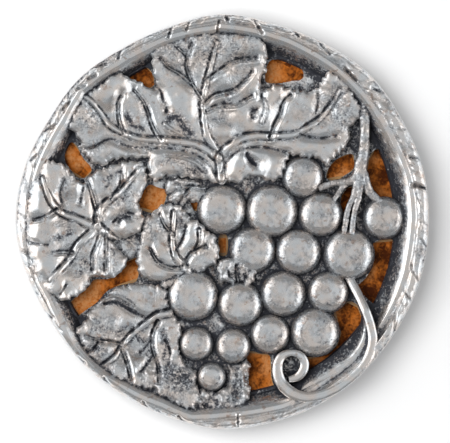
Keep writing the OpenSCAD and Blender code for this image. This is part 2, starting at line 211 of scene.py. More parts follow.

# %% [markdown]
# ## The leaves
# A cast leaf is an outline with small teeth and a swollen surface between its veins. A main vein
# is a thin bright rib that runs in a wider dark channel, a side vein is the same but smaller,
# a crease is only a groove, a fold is a wide shallow one, and a ridge stands up without a channel.
# Each leaf's table holds its outline and these lines, then the spots that are sunk (pits), left rough,
# left matt, or darkened with painted shade. They are places with a radius, and the painted shade lies along
# lines.

# %% Leaf tables
# panels: level of the panels, share of the grooves' depth, and black left on the leaf
LEAVES = {}
LEAVES["top_leaf"] = dict(
    panels=(8.0, 0.84, 0.05),
    outline_px=[218,184, 210,181, 201,179, 190,178, 180,177, 172,178, 166,175, 157,182, 150,178, 148,168,
        148,158, 140,158, 125,158, 110,160, 107,166, 92,163, 88,158, 83,153, 78,148, 80,142, 72,130,
        67,128, 70,118, 78,105, 83,95, 95,88, 105,80, 115,73, 121,73, 130,78, 140,82, 150,88, 155,85,
        153,75, 152,62, 151,50, 160,43, 175,38, 190,35, 205,33, 220,32, 235,33, 250,35, 262,40, 266,50,
        268,57, 266,63, 267,70, 262,76, 260,82, 263,90, 268,88, 275,83, 290,88, 305,91, 318,88, 322,79,
        330,72, 345,80, 355,98, 361,108, 359,118, 350,128, 350,138, 343,150, 335,157, 327,166, 318,158,
        305,158, 290,155, 286,166, 280,178, 270,181, 262,178, 254,176, 245,178, 238,184, 230,181],
    main_px=[[221,178, 219,160, 216,150, 208,138, 204,120, 203,100, 207,80, 212,62, 215,50, 217,42],
        [218,158, 208,150, 195,144, 180,142, 160,140, 140,139, 125,134, 110,125, 100,112, 90,100, 83,95],
        [220,156, 230,146, 240,139, 255,136, 275,136, 290,135, 300,132, 310,126, 320,119, 328,110,
        335,100, 340,90]],
    side_px=[[203,100, 195,88, 190,78, 186,66, 187,57, 178,48], [187,57, 192,44],
        [192,84, 180,74, 168,67, 161,59], [205,104, 215,95, 234,90, 245,80, 252,72],
        [207,110, 220,105, 236,104, 252,96], [207,80, 222,69, 236,60, 256,58], [160,140, 154,130, 150,120,
        147,110, 142,100, 134,90], [124,133, 119,120, 118,105, 121,96],
        [271,137, 275,125, 280,115, 284,102, 291,95]],
    crease_px=[[152,83, 160,90, 163,100, 167,110], [262,98, 261,88], [216,176, 208,163, 200,157, 190,152,
        175,149, 158,148, 146,151], [222,172, 228,160, 240,150, 255,147, 270,148, 286,152],
        [78,148, 93,147, 110,139, 130,147, 150,147], [318,94, 318,103, 316,113],
        [300,134, 318,138, 336,136], [257,109, 253,112, 252,117], [247,153, 250,160, 256,165],
        [168,179, 173,176, 179,177]],
    fold_px=[[170,119, 178,117, 184,123, 188,130, 195,136], [127,116, 133,124, 143,129],
        [160,163, 174,162, 188,167, 200,176], [228,96, 222,110, 214,121]],
    ridge_px=[[262,122, 266,110, 265,100], [205,172, 196,163, 182,158, 165,156],
        [165,124, 173,130, 184,136]],
    painted_shade_px=[([169,118, 176,118, 181,126, 189,133], 3.4, 0.65), ([176,172, 190,171, 204,172], 4.0, 0.5),
        ([127,117, 133,125, 142,130], 2.6, 0.4), ([223,120, 232,126], 3.0, 0.35),
        ([252,108, 254,117], 3.0, 0.6), ([248,155, 253,164], 3.4, 0.6)],
    pit_px=[(166, 111, 2, 1), (252, 160, 7, 0.6), (195, 173, 12, 0.6), (273, 168, 13, -0.35),
        (228, 121, 14, 0.5), (300, 112, 15, 0.6), (232, 78, 12, 0.4)],
    matt_px=[(205, 45, 30), (180, 50, 26), (240, 48, 24), (335, 95, 24), (345, 120, 16), (85, 115, 16),
        (90, 150, 14)])
LEAVES["left_leaf"] = dict(
    panels=(8.0, 0.92, 0.06),
    outline_px=[112,240, 120,240, 128,237, 138,233, 145,224, 142,212, 138,203, 143,190, 146,178, 143,163,
        132,161, 120,163, 103,168, 88,175, 82,183, 70,172, 62,164, 50,160, 42,163, 33,178, 27,198, 24,222,
        26,246, 32,268, 41,290, 53,296, 65,301, 73,297, 80,294, 89,285, 92,277, 109,278, 119,274, 125,266,
        126,258, 118,250],
    main_px=[[97,226, 105,232, 115,240, 126,247, 136,254], [97,226, 98,216, 100,210, 106,203, 120,192,
        133,177, 140,168], [97,226, 88,224, 75,218, 62,213, 52,203, 46,190, 42,178], [97,226, 90,234,
        78,245, 68,261, 56,274, 50,280]],
    side_px=[[57,210, 45,217, 34,220], [98,218, 94,203, 89,186, 86,179], [112,199, 121,184, 121,172],
        [101,230, 97,243, 92,256, 92,270], [106,236, 106,252, 105,270], [72,253, 60,252, 48,254]],
    crease_px=[[83,188, 80,203], [30,243, 48,245], [113,222, 124,213, 134,214], [64,180, 60,192, 62,204],
        [66,285, 60,295], [119,222, 123,217, 130,217]],
    fold_px=[[70,232, 60,238, 50,238], [84,262, 80,272], [112,250, 116,262], [106,186, 110,178]],
    painted_shade_px=[([120,219, 128,217], 3.6, 0.6), ([100,180, 110,176, 120,172], 3.0, 0.3),
        ([108,246, 116,256], 4.0, 0.3)],
    pit_px=[(65, 197, 12, 0.5), (86, 262, 12, 0.5)],
    matt_px=[(110, 265, 18), (68, 180, 12), (130, 200, 16)])
LEAVES["middle_leaf"] = dict(
    panels=(8.1, 1.0, 0.08),
    outline_px=[172,204, 183,208, 190,218, 200,222, 207,231, 214,234, 218,244, 219,255, 214,264, 206,268,
        200,274, 188,276, 178,280, 172,286, 164,289, 158,284, 141,276, 136,262, 138,249, 141,236, 143,222,
        150,215, 160,206],
    main_px=[[194,278, 187,270, 181,263, 175,255, 172,240, 173,230, 174,212]],
    side_px=[[184,266, 190,255, 198,250, 206,246], [199,230, 199,242, 195,250],
        [180,268, 171,268, 158,262, 150,249], [173,234, 165,226, 160,215]],
    crease_px=[[140,279, 152,283, 165,281, 176,276], [176,250, 182,240, 186,226]],
    painted_shade_px=[([181,217, 182,228], 4.0, 0.45), ([152,252, 164,262], 3.0, 0.4)],
    pit_px=[(181, 222, 8, 0.6)],
    matt_px=[(150, 225, 14), (208, 245, 10)])
LEAVES["lower_leaf"] = dict(
    panels=(7.9, 1.1, 0.16),
    outline_px=[165,289, 155,285, 143,284, 129,285, 115,288, 108,295, 99,302, 89,311, 86,320, 77,328,
        76,335, 84,350, 100,368, 115,378, 129,384, 144,389, 165,399, 186,409, 203,408, 200,396, 196,385,
        197,373, 188,367, 180,357, 179,342, 182,328, 176,317, 170,305, 167,296],
    main_px=[[178,310, 170,313, 158,316, 148,322, 138,330, 130,337, 122,346, 115,357, 103,366]],
    side_px=[[122,345, 110,342, 100,341, 86,336], [100,341, 95,349, 88,353],
        [121,348, 126,360, 129,370, 131,380], [158,322, 153,333, 152,344, 154,354, 158,365, 159,382]],
    crease_px=[[104,304, 115,302, 125,307, 135,313, 147,318], [140,353, 151,342], [141,372, 153,356],
        [165,340, 170,352, 168,364]],
    fold_px=[[137,338, 147,345, 150,356], [162,330, 166,345, 163,358], [96,330, 108,331, 120,334]],
    ridge_px=[[98,304, 108,297, 120,297, 134,306]],
    painted_shade_px=[([108,303, 122,305, 136,311], 2.6, 0.5), ([120,330, 130,326], 4.0, 0.4),
        ([170,372, 186,378], 8.0, 0.3), ([92,345, 104,352], 5.0, 0.3)],
    pit_px=[(154, 390, 5, 1.6), (197, 406, 5, 1.6), (140, 342, 13, 0.4), (112, 322, 12, 0.5)],
    rough_px=[(180, 380, 24), (150, 378, 14), (92, 345, 12)],
    matt_px=[(178, 382, 22), (100, 350, 18), (95, 325, 12)])
LEAVES["small_leaf"] = dict(
    panels=(8.3, 1.0, 0.08),
    outline_px=[221,284, 219,275, 218,266, 222,260, 229,258, 236,256, 243,257, 250,260, 255,266, 256,274,
        253,282, 247,286, 240,282, 232,286, 226,281],
    side_px=[[239,284, 237,275, 237,266]],
    crease_px=[[230,276, 227,268], [246,277, 250,270]],
    painted_shade_px=[([230,276, 246,276], 6.0, 0.4)],
    pit_px=[(237, 275, 9, 0.6)],
    rough_px=[(237, 270, 20)],
    matt_px=[(240, 270, 14)])
LEAVES["foot_leaf"] = dict(
    panels=(6.9, 1.0, 0.08),
    outline_px=[247,360, 250,370, 246,380, 251,390, 248,401, 236,409, 215,411, 201,406, 197,393, 204,389,
        215,393, 225,388, 229,378, 227,368, 237,364],
    crease_px=[[236,394, 237,382, 236,370], [210,398, 206,407]],
    ridge_px=[[199,403, 199,393], [243,386, 243,372]],
    pit_px=[(216, 402, 6, 0.7), (233, 398, 7, 0.6)],
    rough_px=[(215, 400, 24), (240, 390, 26)],
    matt_px=[(230, 395, 24), (240, 375, 14)])
LEAVES["under_leaf"] = dict(
    panels=(6.9, 1.0, 0.08),
    outline_px=[168,180, 178,178, 190,180, 203,183, 209,190, 204,198, 196,203, 188,200, 180,206, 171,204,
        166,196, 165,187],
    side_px=[[205,188, 190,187, 178,190, 168,197], [192,187, 186,194, 180,203]],
    crease_px=[[185,188, 176,183]],
    matt_px=[(185, 192, 20)])

# %% [markdown]
# The height of a leaf follows from the distances to its lines and to its outline. The panels swell
# away from the veins, the channels and ribs are bells across their lines, and the border rolls
# down to the wall of the leaf. Near the rim a leaf climbs. Two sizes of ripple make it look
# modelled by hand.

# %% Leaf heights
# Teeth: length along the edge, depth, and the share of the length on their longer side
TOOTH_LENGTH, TOOTH_DEPTH, TOOTH_LEAN = 2.3, 0.78, 0.7
# How far the panels swell above the veins
SWELL = 1.2
# Radius where a leaf starts to climb, the run over which it does, and its rise
CLIMB_FROM, CLIMB_RUN, CLIMB = 38, 8, 1.3
# The left leaf's further rise, the radius past which it slopes down to the edge, and the slope
LEFT_CLIMB, LEFT_SLOPE_FROM, LEFT_SLOPE = 1.2, 43.4, 0.46
# Of each ripple over a leaf: height, size and seed
LEAF_RIPPLES = [(0.42, 4.6, 11), (0.09, 2.1, 12)]
# How far under the crest the heights of a leaf start to be pressed together, and into what range
SOFT_DROP, SOFT_RANGE = 0.9, 0.8
# Lines of a leaf: reach of the panels' fall, half width and height of the rib, width and depth of
# the groove beside it, and how much deeper and wider that groove is on the upper left
VEINS = [
    ("main_px", 2.2, 0.84, 0.42, 0.26, 0.85, 0.5), ("side_px", 1.6, 0.28, 0.35, 0.22, 0.68, 0.8),
    ("crease_px", 1.2, 0.0, 0.0, 0.30, 0.85, 0.0), ("fold_px", 1.6, 0.0, 0.0, 0.85, 0.28, 0.0),
    ("ridge_px", 1.2, 0.45, 0.6, 0.30, 0.4, 0.3)]


def toothed(outline_px, seed):
    """A leaf's outline with leaning teeth of uneven size."""
    edge = even(smooth(place(outline_px), 4, closed=True), CELL, closed=True)
    ahead = np.roll(edge, -2, 0) - np.roll(edge, 2, 0)
    inward = np.c_[ahead[:, 1], -ahead[:, 0]] / np.linalg.norm(ahead, axis=1)[:, None]
    area = (edge[:, 0] * np.roll(edge[:, 1], -1) - edge[:, 1] * np.roll(edge[:, 0], -1)).sum()
    inward *= -1 if area > 0 else 1
    count = round(len(edge) * CELL / TOOTH_LENGTH)
    along = np.arange(len(edge)) / len(edge)
    phase = (count * along + 0.5 * ripple(edge, 2.6, seed)) % 1
    notch = 0.5 - np.minimum(phase / TOOTH_LEAN, (1 - phase) / (1 - TOOTH_LEAN))
    depth = TOOTH_DEPTH * (0.65 + 0.5 * ripple(edge, 3.3, seed + 50))
    return edge + inward * (notch * depth + 0.2 * ripple(edge, 1.7, seed + 70))[:, None]


def leaf_heights(xy, name, outline):
    """Height of a leaf's surface, how matt and how dark it is, over places in plan."""
    leaf = LEAVES[name]
    leaf_z, carve, base_dirt = leaf["panels"]
    puff = np.ones(len(xy))
    cut, rib, matt, swell = np.zeros((4, len(xy)))
    uneven = ripple(xy, 2.3, 14)
    worn = np.clip(0.75 + 0.35 * uneven + 0.6 * ripple(xy, 1.1, 16), 0.1, 1.35)
    for kind, panel_w, rib_w, rib_h, groove_w, depth, lean in VEINS:
        for line_px in leaf.get(kind, []):
            gap, share, upper = near(xy, smooth(place(line_px)))
            half = rib_w * (1 - 0.5 * share) * (1 + 0.18 * uneven)
            if kind != "ridge_px":
                puff *= 1 - (0.3 if kind == "fold_px" else 0.62) * bell(gap, panel_w)
            if kind == "side_px":
                beside = 0.45 * bell(gap - 1.15, 0.55) * np.clip(0.3 - upper, 0, 1)
                swell = np.maximum(swell, beside)
            upper = lean * np.where(gap > 0.3 * half, upper, 0)
            groove = bell(gap - 1.35 * half, groove_w * (1 + 0.8 * upper)) * (1 - 0.4 * share)
            cut = np.maximum(cut, carve * depth * (1 + upper) * worn * groove)
            rib = np.maximum(rib, rib_h * bell(gap**2, (half + 1e-3) ** 2))
            matt = np.maximum(matt, (0.8 + 0.3 * upper) * bell(gap - 1.6 * half, groove_w * 1.6))
    cut -= rib
    for x, y, r, depth in leaf.get("pit_px", []):
        cut += depth * dab(xy, x, y, 0.7 * r)
    border = edge_gap(xy, outline)
    matt = np.maximum(matt, 0.9 * bell(border, 1.1))
    for x, y, r in leaf["matt_px"]:
        matt = np.maximum(matt, dab(xy, x, y, r))
    from_axis = np.linalg.norm(xy, axis=1)
    climb = np.clip((from_axis - CLIMB_FROM) / CLIMB_RUN, 0, 1)
    z = leaf_z + SWELL * (puff - 0.5) + swell - cut + CLIMB * climb**2 * (3 - 2 * climb)
    for x, y, r in leaf.get("rough_px", []):
        z += dab(xy, x, y, r) * (0.3 * ripple(xy, 1.5, 17) + 0.2 * ripple(xy, 0.7, 18))
    if name == "left_leaf":
        z += LEFT_CLIMB * climb - LEFT_SLOPE * np.clip(from_axis - LEFT_SLOPE_FROM, 0, None)
    z -= 0.7 * bell(border, 0.35) + 0.5 * bell(border, 1.3)
    for height, size, seed in LEAF_RIPPLES:
        z += height * ripple(xy, size, seed)
    z += (0.015 + 0.10 * matt) * ripple(xy, 0.8, 13)
    black_and_shade = base_dirt + 0.12 * ripple(xy, 5.5, 15) + 0.12 * matt
    # Painted shade darkens the colour along given lines
    for line_px, width_px, amount in leaf.get("painted_shade_px", []):
        black_and_shade += amount * stroke(xy, line_px, width_px * MM_PER_PX)
    soft = crest_z - SOFT_DROP
    pressed = soft + SOFT_RANGE * np.tanh((z - soft) / SOFT_RANGE)
    return np.where(z > soft, pressed, z), matt, black_and_shade


forms = {}
for seed, name in enumerate(LEAVES):
    outline = toothed(LEAVES[name]["outline_px"], seed)
    inside = cover(outline)
    z = leaf_heights(spots[inside], name, outline)[0]
    lay(inside, z)
    forms[name] = outline
    print(f"{name}: {inside.sum()} places, {z.min():.1f} to {z.max():.1f} mm high")

# %% [markdown]
# ## Grapes, stem and tendril in plan
# The grapes are flattened domes, so one formula gives their height. The stem and the tendril are
# round ribs along smooth courses. Here they only go into the height map: their own meshes
# come later.

# %% Grapes and ribs in the height map
# Of each grape: its middle and its radius in pixels
GRAPES_PX = [(222, 209.5, 23), (272, 211, 24.4), (321, 214.5, 20.7), (303, 177, 19.3), (384.5, 218, 20),
    (252.7, 250, 21.5), (298.5, 252, 21.3), (349.3, 254.5, 24), (192.5, 295.5, 24), (240.3, 304.3, 21),
    (283.3, 294, 21.3), (328.5, 292.5, 19.2), (270.3, 334.5, 18.5), (315.5, 332.7, 23),
    (196.3, 344, 15.8), (233.2, 346.2, 16.5), (211.5, 377.2, 13.5)]
GRAPE_SWELL = 1.09
GRAPE_TOP = 9.1
GRAPE_FLATNESS = 4.2

TENDRIL_PX = np.reshape([348,275, 356,290, 361.5,301, 367,314, 371,327, 373,340, 370,354, 361.5,368,
    346.7,381.6, 333,390.5, 318,396, 304,397, 291,392.5, 282,384, 277.8,373, 278.5,362, 284,355,
    292.5,353, 300.5,356, 304.5,363, 303,371, 297,377.5, 289,379.5], (-1, 2))
# Of each rib: its course, half widths in pixels and top heights in millimetres along it
RIBS_PX = {
    "stem": [
        ([366,92, 366,108, 365,122, 365,138, 364,152, 361,166, 360,178, 359,188],
         [7.0, 6.2, 5.2, 5.0, 5.6, 6.6, 7.2, 5.6], [9.0, 9.0, 8.6, 8.6]),
        ([362,166, 356,178, 346,182, 334,183, 319,188], [5.0, 5.0, 4.0, 3.0, 3.4], [8.5, 8.2]),
        ([350,180, 342,188, 336,197, 330,206], [3.6, 3.0, 2.6, 2.6], [8.1, 7.8]),
        ([357,182, 354,196, 348,210, 344,234], [4.0, 3.2, 2.8, 3.0], [8.5, 8.4]),
        ([361,182, 359,196, 355,210, 352,234], [4.2, 3.4, 2.8, 3.0], [8.6, 8.5]),
        ([361,166, 366,180, 370,192, 378,200, 386,208], [5.0, 4.4, 4.6, 4.2, 4.0], [8.6, 8.3])],
    "tendril": [(TENDRIL_PX, [4.0, 4.8, 4.5, 4.6, 4.8, 5.0, 5.2, 4.5, 4.4, 4.6, 5.2, 5.6, 6.0, 6.0, 5.6,
        5.0, 4.0, 3.2, 4.0, 4.8, 4.8, 4.2, 3.0], [7.2, 9.8, 10.0, 10.0, 10.0, 9.9, 9.5, 9.1, 8.8])],
}
RIB_FLATNESS = {"stem": 0.8, "tendril": 0.55}


def grape_profile(share):
    """Share of a grape's height at a share of its radius."""
    return (1 - np.clip(share, 0, 1) ** GRAPE_FLATNESS) ** (1 / 2)


def along_rib(share, halves_px, tops):
    """Half width and top height of a rib at a share of its course."""
    half = np.interp(share, np.linspace(0, 1, len(halves_px)), halves_px) * MM_PER_PX
    return half, np.interp(share, np.linspace(0, 1, len(tops)), tops)


middles = place([(x, y) for x, y, r in GRAPES_PX])
radii = np.array([r for x, y, r in GRAPES_PX]) * GRAPE_SWELL * MM_PER_PX
for middle, radius in zip(middles, radii):
    share = np.linalg.norm(spots - middle, axis=2) / radius
    inside = share < 1
    lay(inside, web_z + (GRAPE_TOP - web_z) * grape_profile(share[inside]))
for name, ribs in RIBS_PX.items():
    for line_px, halves_px, tops in ribs:
        line = smooth(place(line_px), 4)
        halfway, reach = (line.min(0) + line.max(0)) / 2, np.ptp(line, axis=0) / 2 + 2
        close = (np.abs(spots - halfway) < reach).all(2)
        gap, share, _ = near(spots[close], line)
        half, top = along_rib(share, halves_px, tops)
        z = top - (half - np.sqrt(np.clip(half**2 - gap**2, 0, None))) * RIB_FLATNESS[name]
        lay(close, np.where(gap < half, z, 0))
print(f"{len(GRAPES_PX)} grapes and {sum(map(len, RIBS_PX.values()))} ribs laid")

# %% [markdown]
# The inner side of the tendril falls in a hollow blade towards the opening. Its height follows
# from the share of the way between the tendril's course and its own free edge.

# %% Tendril blade
BLADE_EDGE_PX = np.reshape([362,315, 360,328, 354,339, 345,349, 334,356, 324,362, 313,369, 303,378,
    296,388], (-1, 2))
BLADE_PX = np.vstack([BLADE_EDGE_PX, TENDRIL_PX[11:2:-1], (364, 308)])


def blade_heights(xy):
    """Height of the blade's hollow side, how matt and how dark it is."""
    inner_gap = near(xy, smooth(place(BLADE_EDGE_PX)))[0]
    outer_gap = near(xy, smooth(place(TENDRIL_PX[2:12]), 4))[0]
    way = outer_gap / (outer_gap + inner_gap + 1e-6)
    z = np.interp(way, [0, 0.25, 0.4, 0.5, 0.6, 0.7, 0.85, 1], [9.3, 8.2, 7.6, 7.75, 7.7, 7.0, 6.2, 5.4])
    matt = np.interp(way, [0, 0.38, 0.46, 0.6, 0.7, 1], [0.1, 0.5, 0.1, 0.1, 0.6, 0.9])
    black_and_shade = np.interp(way, [0, 0.25, 0.38, 0.45, 0.6, 0.7, 0.85, 1],
                     [0.15, 0.4, 0.6, -0.15, -0.1, 0.5, 0.7, 0.9])
    return z + 0.12 * ripple(xy, 1.6, 51), matt, black_and_shade


blade_outline = even(smooth(place(BLADE_PX), 4, closed=True), CELL, closed=True)
inside = cover(blade_outline)
lay(inside, blade_heights(spots[inside])[0])
print(f"blade: {inside.sum()} places")

# %% [markdown]
# ## The rim
# The rim is a smooth inner band with twisted bark round it. Going outwards, the sand-rough inner
# wall climbs from the cork, the band shines, and oblique notches part the twists. Its outline was
# shaped by hand and isn't quite round, so it comes from 24 radii, and the band wanders too. It lies
# lower in two sectors: under the tendril, and on the left, where it slopes outwards.

# %% Rim section
EDGE_PX = [207, 208, 207, 208.5, 205.5, 204.5, 208, 202.5, 200.5, 203, 202, 206, 208, 203.5, 199, 200,
    200.5, 203.5, 208, 207.5, 207.5, 206.5, 206, 207]
edge_course = smooth(np.c_[np.arange(24) * 15.0, EDGE_PX], closed=True)[:, 1]
# Radii in pixels of the inner wall's foot and top, and of the place where the bark starts
WALL_FOOT, WALL_TOP, BARK_FROM = 172, 186, 193
# Heights of the rim by radius in pixels, and of its outer corner by distance from the edge
SECTION = ([WALL_FOOT, 175.5, 181, WALL_TOP, 189, BARK_FROM, 195, 197.5],
           [seat_z, 5.0, 7.5, 9.2, 9.85, 9.8, 9.4, 9.75])
CORNER = ([0, 0.6, 2, 4, 6], [6.6, 8.0, 9.0, 9.5, 9.8])
# What the corner gains on the left, and how the rim slopes down there past a radius in pixels
LEFT_GAIN, LEFT_FALL, LEFT_FALL_FROM = [1.3, 0.8, 0.5, 0.2, 0.0], 0.125, 196
# Turn in degrees, and how many pixels the band lies outside its mean radius there
BAND_SHIFT_PX = np.reshape([0,0, 15,0.5, 30,-2, 45,-1.5, 60,0.5, 74,1, 84,3, 91,5, 93,3, 105,1.5, 113,-1,
    124,-2, 137,3, 139,1, 148,-3, 158,-1, 170,0, 198,2, 204,-1, 214,0, 222,3.5, 232,4.5, 240,2, 252,2.5,
    261,7, 264,5, 272,2, 288,3, 300,0, 318,0, 330,-0.5, 348,-1, 360,0], (-1, 2))
TWISTS = 46
# Mean radius in millimetres that turns the bark's angles into lengths
BARK_R = 50
# Courses of deep notches and seams, their depths and widths in millimetres
RIM_CUTS_PX = [
    ([219,20, 217,32, 218,46], 1.0, 0.26), ([238,414, 238,426], 0.8, 0.3), ([122,46, 118,58], 1.0, 0.35),
    ([172,25, 168,37], 1.1, 0.35), ([190,20, 186,30], 0.9, 0.3), ([253,18, 262,33], 1.0, 0.4),
    ([412,185, 426,188], 1.2, 0.4), ([320,44, 330,54], 0.9, 0.35), ([345,68, 356,80], 0.9, 0.35),
    ([104,378, 110,388], 0.9, 0.35), ([158,410, 161,418], 0.9, 0.35), ([178,416, 187,425], 0.9, 0.35),
    *(([x, y, x + run, y + rise], 0.8, 0.32) for x, y, run, rise in (
        (97, 67, 9, -3), (88, 79, 8, -4), (77, 89, 8, -4), (62, 109, 6, -6), (45, 131, 9, -5),
        (31, 160, 5, -4), (20, 251, 7, 2), (23, 263, 6, 3), (32, 290, 6, 4), (46, 314, 6, 4),
        (78, 358, 7, 5), (143, 402, 5, 7), (293, 29, 6, 8), (372, 88, 8, 4), (398, 128, 9, 2),
        (410, 158, 8, 0))),
    ([226,17, 228,20], 1.3, 0.42)]
# Middle and half width of a low sector in degrees, its drop, and the radius in pixels where it ends
RIM_DROPS = [(317, 24, 2.2, 197), (182, 22, 2.1, 240)]
LEFT_SECTOR = (182, 23)
# Where the bark fades out under the tendril: turns in degrees and shares
BARK_GAP = ([284, 294, 316, 326], [0, 0.85, 0.85, 0])
plank_tilts = np.random.default_rng(9).uniform(-1, 1, (TWISTS, 2))


def rim_edge(turn):
    """Radius of the outside edge at a turn in radians, in millimetres."""
    count = len(edge_course)
    steps = np.asarray(turn) / (2 * math.pi) * count
    return np.interp(steps % count, np.arange(count + 1), np.r_[edge_course, edge_course[:1]]) * MM_PER_PX


def sector(degrees, middle, half):
    """1 in a sector of the rim and 0 outside it, with soft ends."""
    return np.exp(-(((degrees - middle) / half) ** 4))


def twists(r_px, turn):
    """Distance in millimetres to the nearest notch of the bark, which one it is, and its side."""
    wander = ripple(np.c_[turn * 6, turn * 0], 1.0, 5)
    twist = TWISTS * turn / (2 * math.pi) + 0.4 * wander + (r_px - 200) / 26
    nearest = np.round(twist)
    gap = np.abs(twist - nearest) * 2 * math.pi * BARK_R / TWISTS
    return gap, nearest.astype(int) % TWISTS, twist - nearest


def along_band(r_px, turn):
    """Radius in pixels, measured from the uneven course of the band instead of from a circle."""
    shift = np.interp(np.degrees(turn) % 360, BAND_SHIFT_PX[:, 0], BAND_SHIFT_PX[:, 1])
    shift = shift + 0.7 * ripple(np.c_[turn * 5.5, turn * 0], 1.0, 6)
    return r_px - shift * np.clip((r_px - WALL_FOOT) / 8, 0, 1)


def rim_top(r, turn):
    """Height of the rim's upper side at a radius and a turn."""
    edge = rim_edge(turn)
    degrees = np.degrees(turn) % 360
    left = sector(degrees, *LEFT_SECTOR)
    r_px = along_band(r / MM_PER_PX, turn)
    outer = (edge - r) / MM_PER_PX
    z = np.interp(r_px, *SECTION)
    corner = np.interp(outer, *CORNER) + left * np.interp(outer, CORNER[0], LEFT_GAIN)
    z = np.where(outer < CORNER[0][-1], np.minimum(z, corner), z)
    z -= left * LEFT_FALL * np.clip(r_px - LEFT_FALL_FROM, 0, None)
    notch, number, side = twists(r_px, turn)
    xy = np.c_[r * np.cos(turn), r * np.sin(turn)]
    bark = np.clip((r_px - BARK_FROM) / 4, 0, 1) * np.clip(outer / 3, 0.25, 1)
    bark *= 1 - np.interp(degrees, *BARK_GAP)
    rope = bell(((np.degrees(turn) + 35) % 360 - 5) / 28, 1)
    strong = np.clip(0.35 + 0.5 * ripple(xy, 5.0, 23) + rope, 0.1, 1)
    z -= bark * (0.8 * strong * bell(notch, 0.4) - 0.2 * bell(notch, 1.5))
    plank = plank_tilts[number]
    z += bark * (0.6 * plank[..., 0] * side + 0.04 * plank[..., 1] * (r_px - 199))
    for line_px, depth, width in RIM_CUTS_PX:
        z -= depth * stroke(xy, line_px, width)
    rough = np.clip((WALL_TOP - r_px) / 4, 0, 1)
    slant = np.c_[(turn * BARK_R + 1.2 * (r - 49)) / 5.5, (r - 0.12 * turn * BARK_R) / 1.3]
    z += (0.12 + 0.1 * bark) * ripple(xy, 3.4, 21) + 0.30 * bark * ripple(slant, 1.0, 25)
    z += rough * 0.3 * ripple(xy, 0.9, 22)
    for middle, half, drop, end in RIM_DROPS:
        lower = drop * sector(degrees, middle, half)
        z -= lower * np.clip((end - r_px) / 4, 0, 1) * np.clip((r_px - 176) / 6, 0, 1)
    return np.minimum(z, crest_z)


turns = np.arctan2(spots[..., 1], spots[..., 0])
on_rim = (from_middle > WALL_FOOT * MM_PER_PX) & (from_middle < rim_edge(turns))
lay(on_rim, rim_top(from_middle[on_rim], turns[on_rim]))
print(f"rim edge from {min(EDGE_PX) * MM_PER_PX:.1f} to {max(EDGE_PX) * MM_PER_PX:.1f} mm")

# %% [markdown]
# ## The pierced web
# A thin web ties leaves, grapes and rim together, and its openings show the cork. Each opening
# is a smooth closed course that stops at the foot of the rim's wall.

# %% Web openings
OPENINGS_PX = [
    [128,78, 133,69, 144,66, 152,73, 154,84, 147,88, 137,85],
    [266,81, 266,70, 271,60, 286,59, 297,64, 304,72, 302,79, 290,81, 276,83],
    [64,160, 66,147, 71,142, 77,147, 82,157, 91,169, 85,177, 77,177, 70,169],
    [138,207, 141,197, 148,185, 157,187, 166,190, 166,198, 162,208, 154,213, 144,211],
    [190,200, 198,199, 200,207, 194,211],
    [219,236, 227,236, 227,254, 219,254],
    [327,178, 329,168, 337,159, 347,154, 354,155, 354,168, 347,174, 337,180],
    [341,206, 342,196, 348,188, 355,187, 355,196, 351,206, 344,212],
    [368,190, 367,178, 368,162, 375,150, 384,150, 392,160, 400,180, 400,198, 380,198],
    [374,243, 396,241, 400,257, 394,275, 383,299, 375,304, 365,296, 359,286, 366,278, 374,264],
    [334,314, 346,302, 357,306, 363,322, 360,334, 350,348, 336,358, 320,370, 306,370, 307,358, 325,354,
     336,344, 341,332],
    [247,353, 260,354, 270,357, 272,378, 276,396, 270,402, 252,402, 249,383],
    [126,262, 137,258, 139,272, 135,282, 118,286, 106,292, 97,302, 86,310, 76,316, 66,312, 70,302, 86,289,
     94,280, 108,279, 118,273],
]
# The web's radius, and the levels and blurs of the height map's averages
WEB_R = 44.0
RIM_LEVEL, LEFT_LOWER = 9.4, 2.3
NARROW, WIDE = 0.75, 2.0


def opening(points_px, seed):
    """An opening's edge, slightly uneven and stopped short of the rim's foot."""
    edge = even(smooth(place(points_px), closed=True), CELL * 2, closed=True)
    middle = edge.mean(0)
    edge = middle + (edge - middle) * (1 + 0.03 * ripple(edge, 1.6, seed))[:, None]
    r = np.linalg.norm(edge, axis=1)
    return edge * (np.minimum(r, WALL_FOOT * MM_PER_PX + 0.4) / r)[:, None]


openings = [opening(points, seed) for seed, points in enumerate(OPENINGS_PX)]
open_places = np.any([cover(edge) for edge in openings], axis=0)
on_web = (from_middle < WEB_R) & ~open_places
lay(on_web, web_z)
# For the averages the openings are closed and the ground outside is raised to the rim's level,
# so that neither counts as a hollow beside the metal
rim_level = RIM_LEVEL - LEFT_LOWER * sector(np.degrees(turns) % 360, *LEFT_SECTOR)
filled = np.where(from_middle < WEB_R, relief.clip(web_z), relief)
filled = np.where(from_middle > rim_edge(turns) - 0.4, rim_level, filled)
average = blur(filled, NARROW)
wide_average = blur(filled, WIDE)
print(f"{len(openings)} openings, {open_places.sum() * CELL**2:.0f} mm2 of cork in view")

# %% [markdown]
# ## Node helpers and finishes
# Node trees are long to write by hand. A `Wire` stands for the output of a node, so that sums and
# products of wires read as formulas, and `add` sets a node's properties and feeds its sockets.
# They serve shader and geometry trees alike.


# %% Node helpers
class Wire:
    """The output of a node. Sums and products of wires and numbers add maths nodes."""

    def __init__(self, socket):
        self.socket, self.tree = socket, socket.id_data

    def maths(self, operation, other):
        return add(self.tree, "ShaderNodeMath", {0: self, 1: other}, operation=operation)

    def __add__(self, other):
        return self.maths("ADD", other)

    def __sub__(self, other):
        return self.maths("SUBTRACT", other)

    def __mul__(self, other):
        return self.maths("MULTIPLY", other)

    def of(self, name):
        """Another output of the same node."""
        return Wire(self.socket.node.outputs[name])


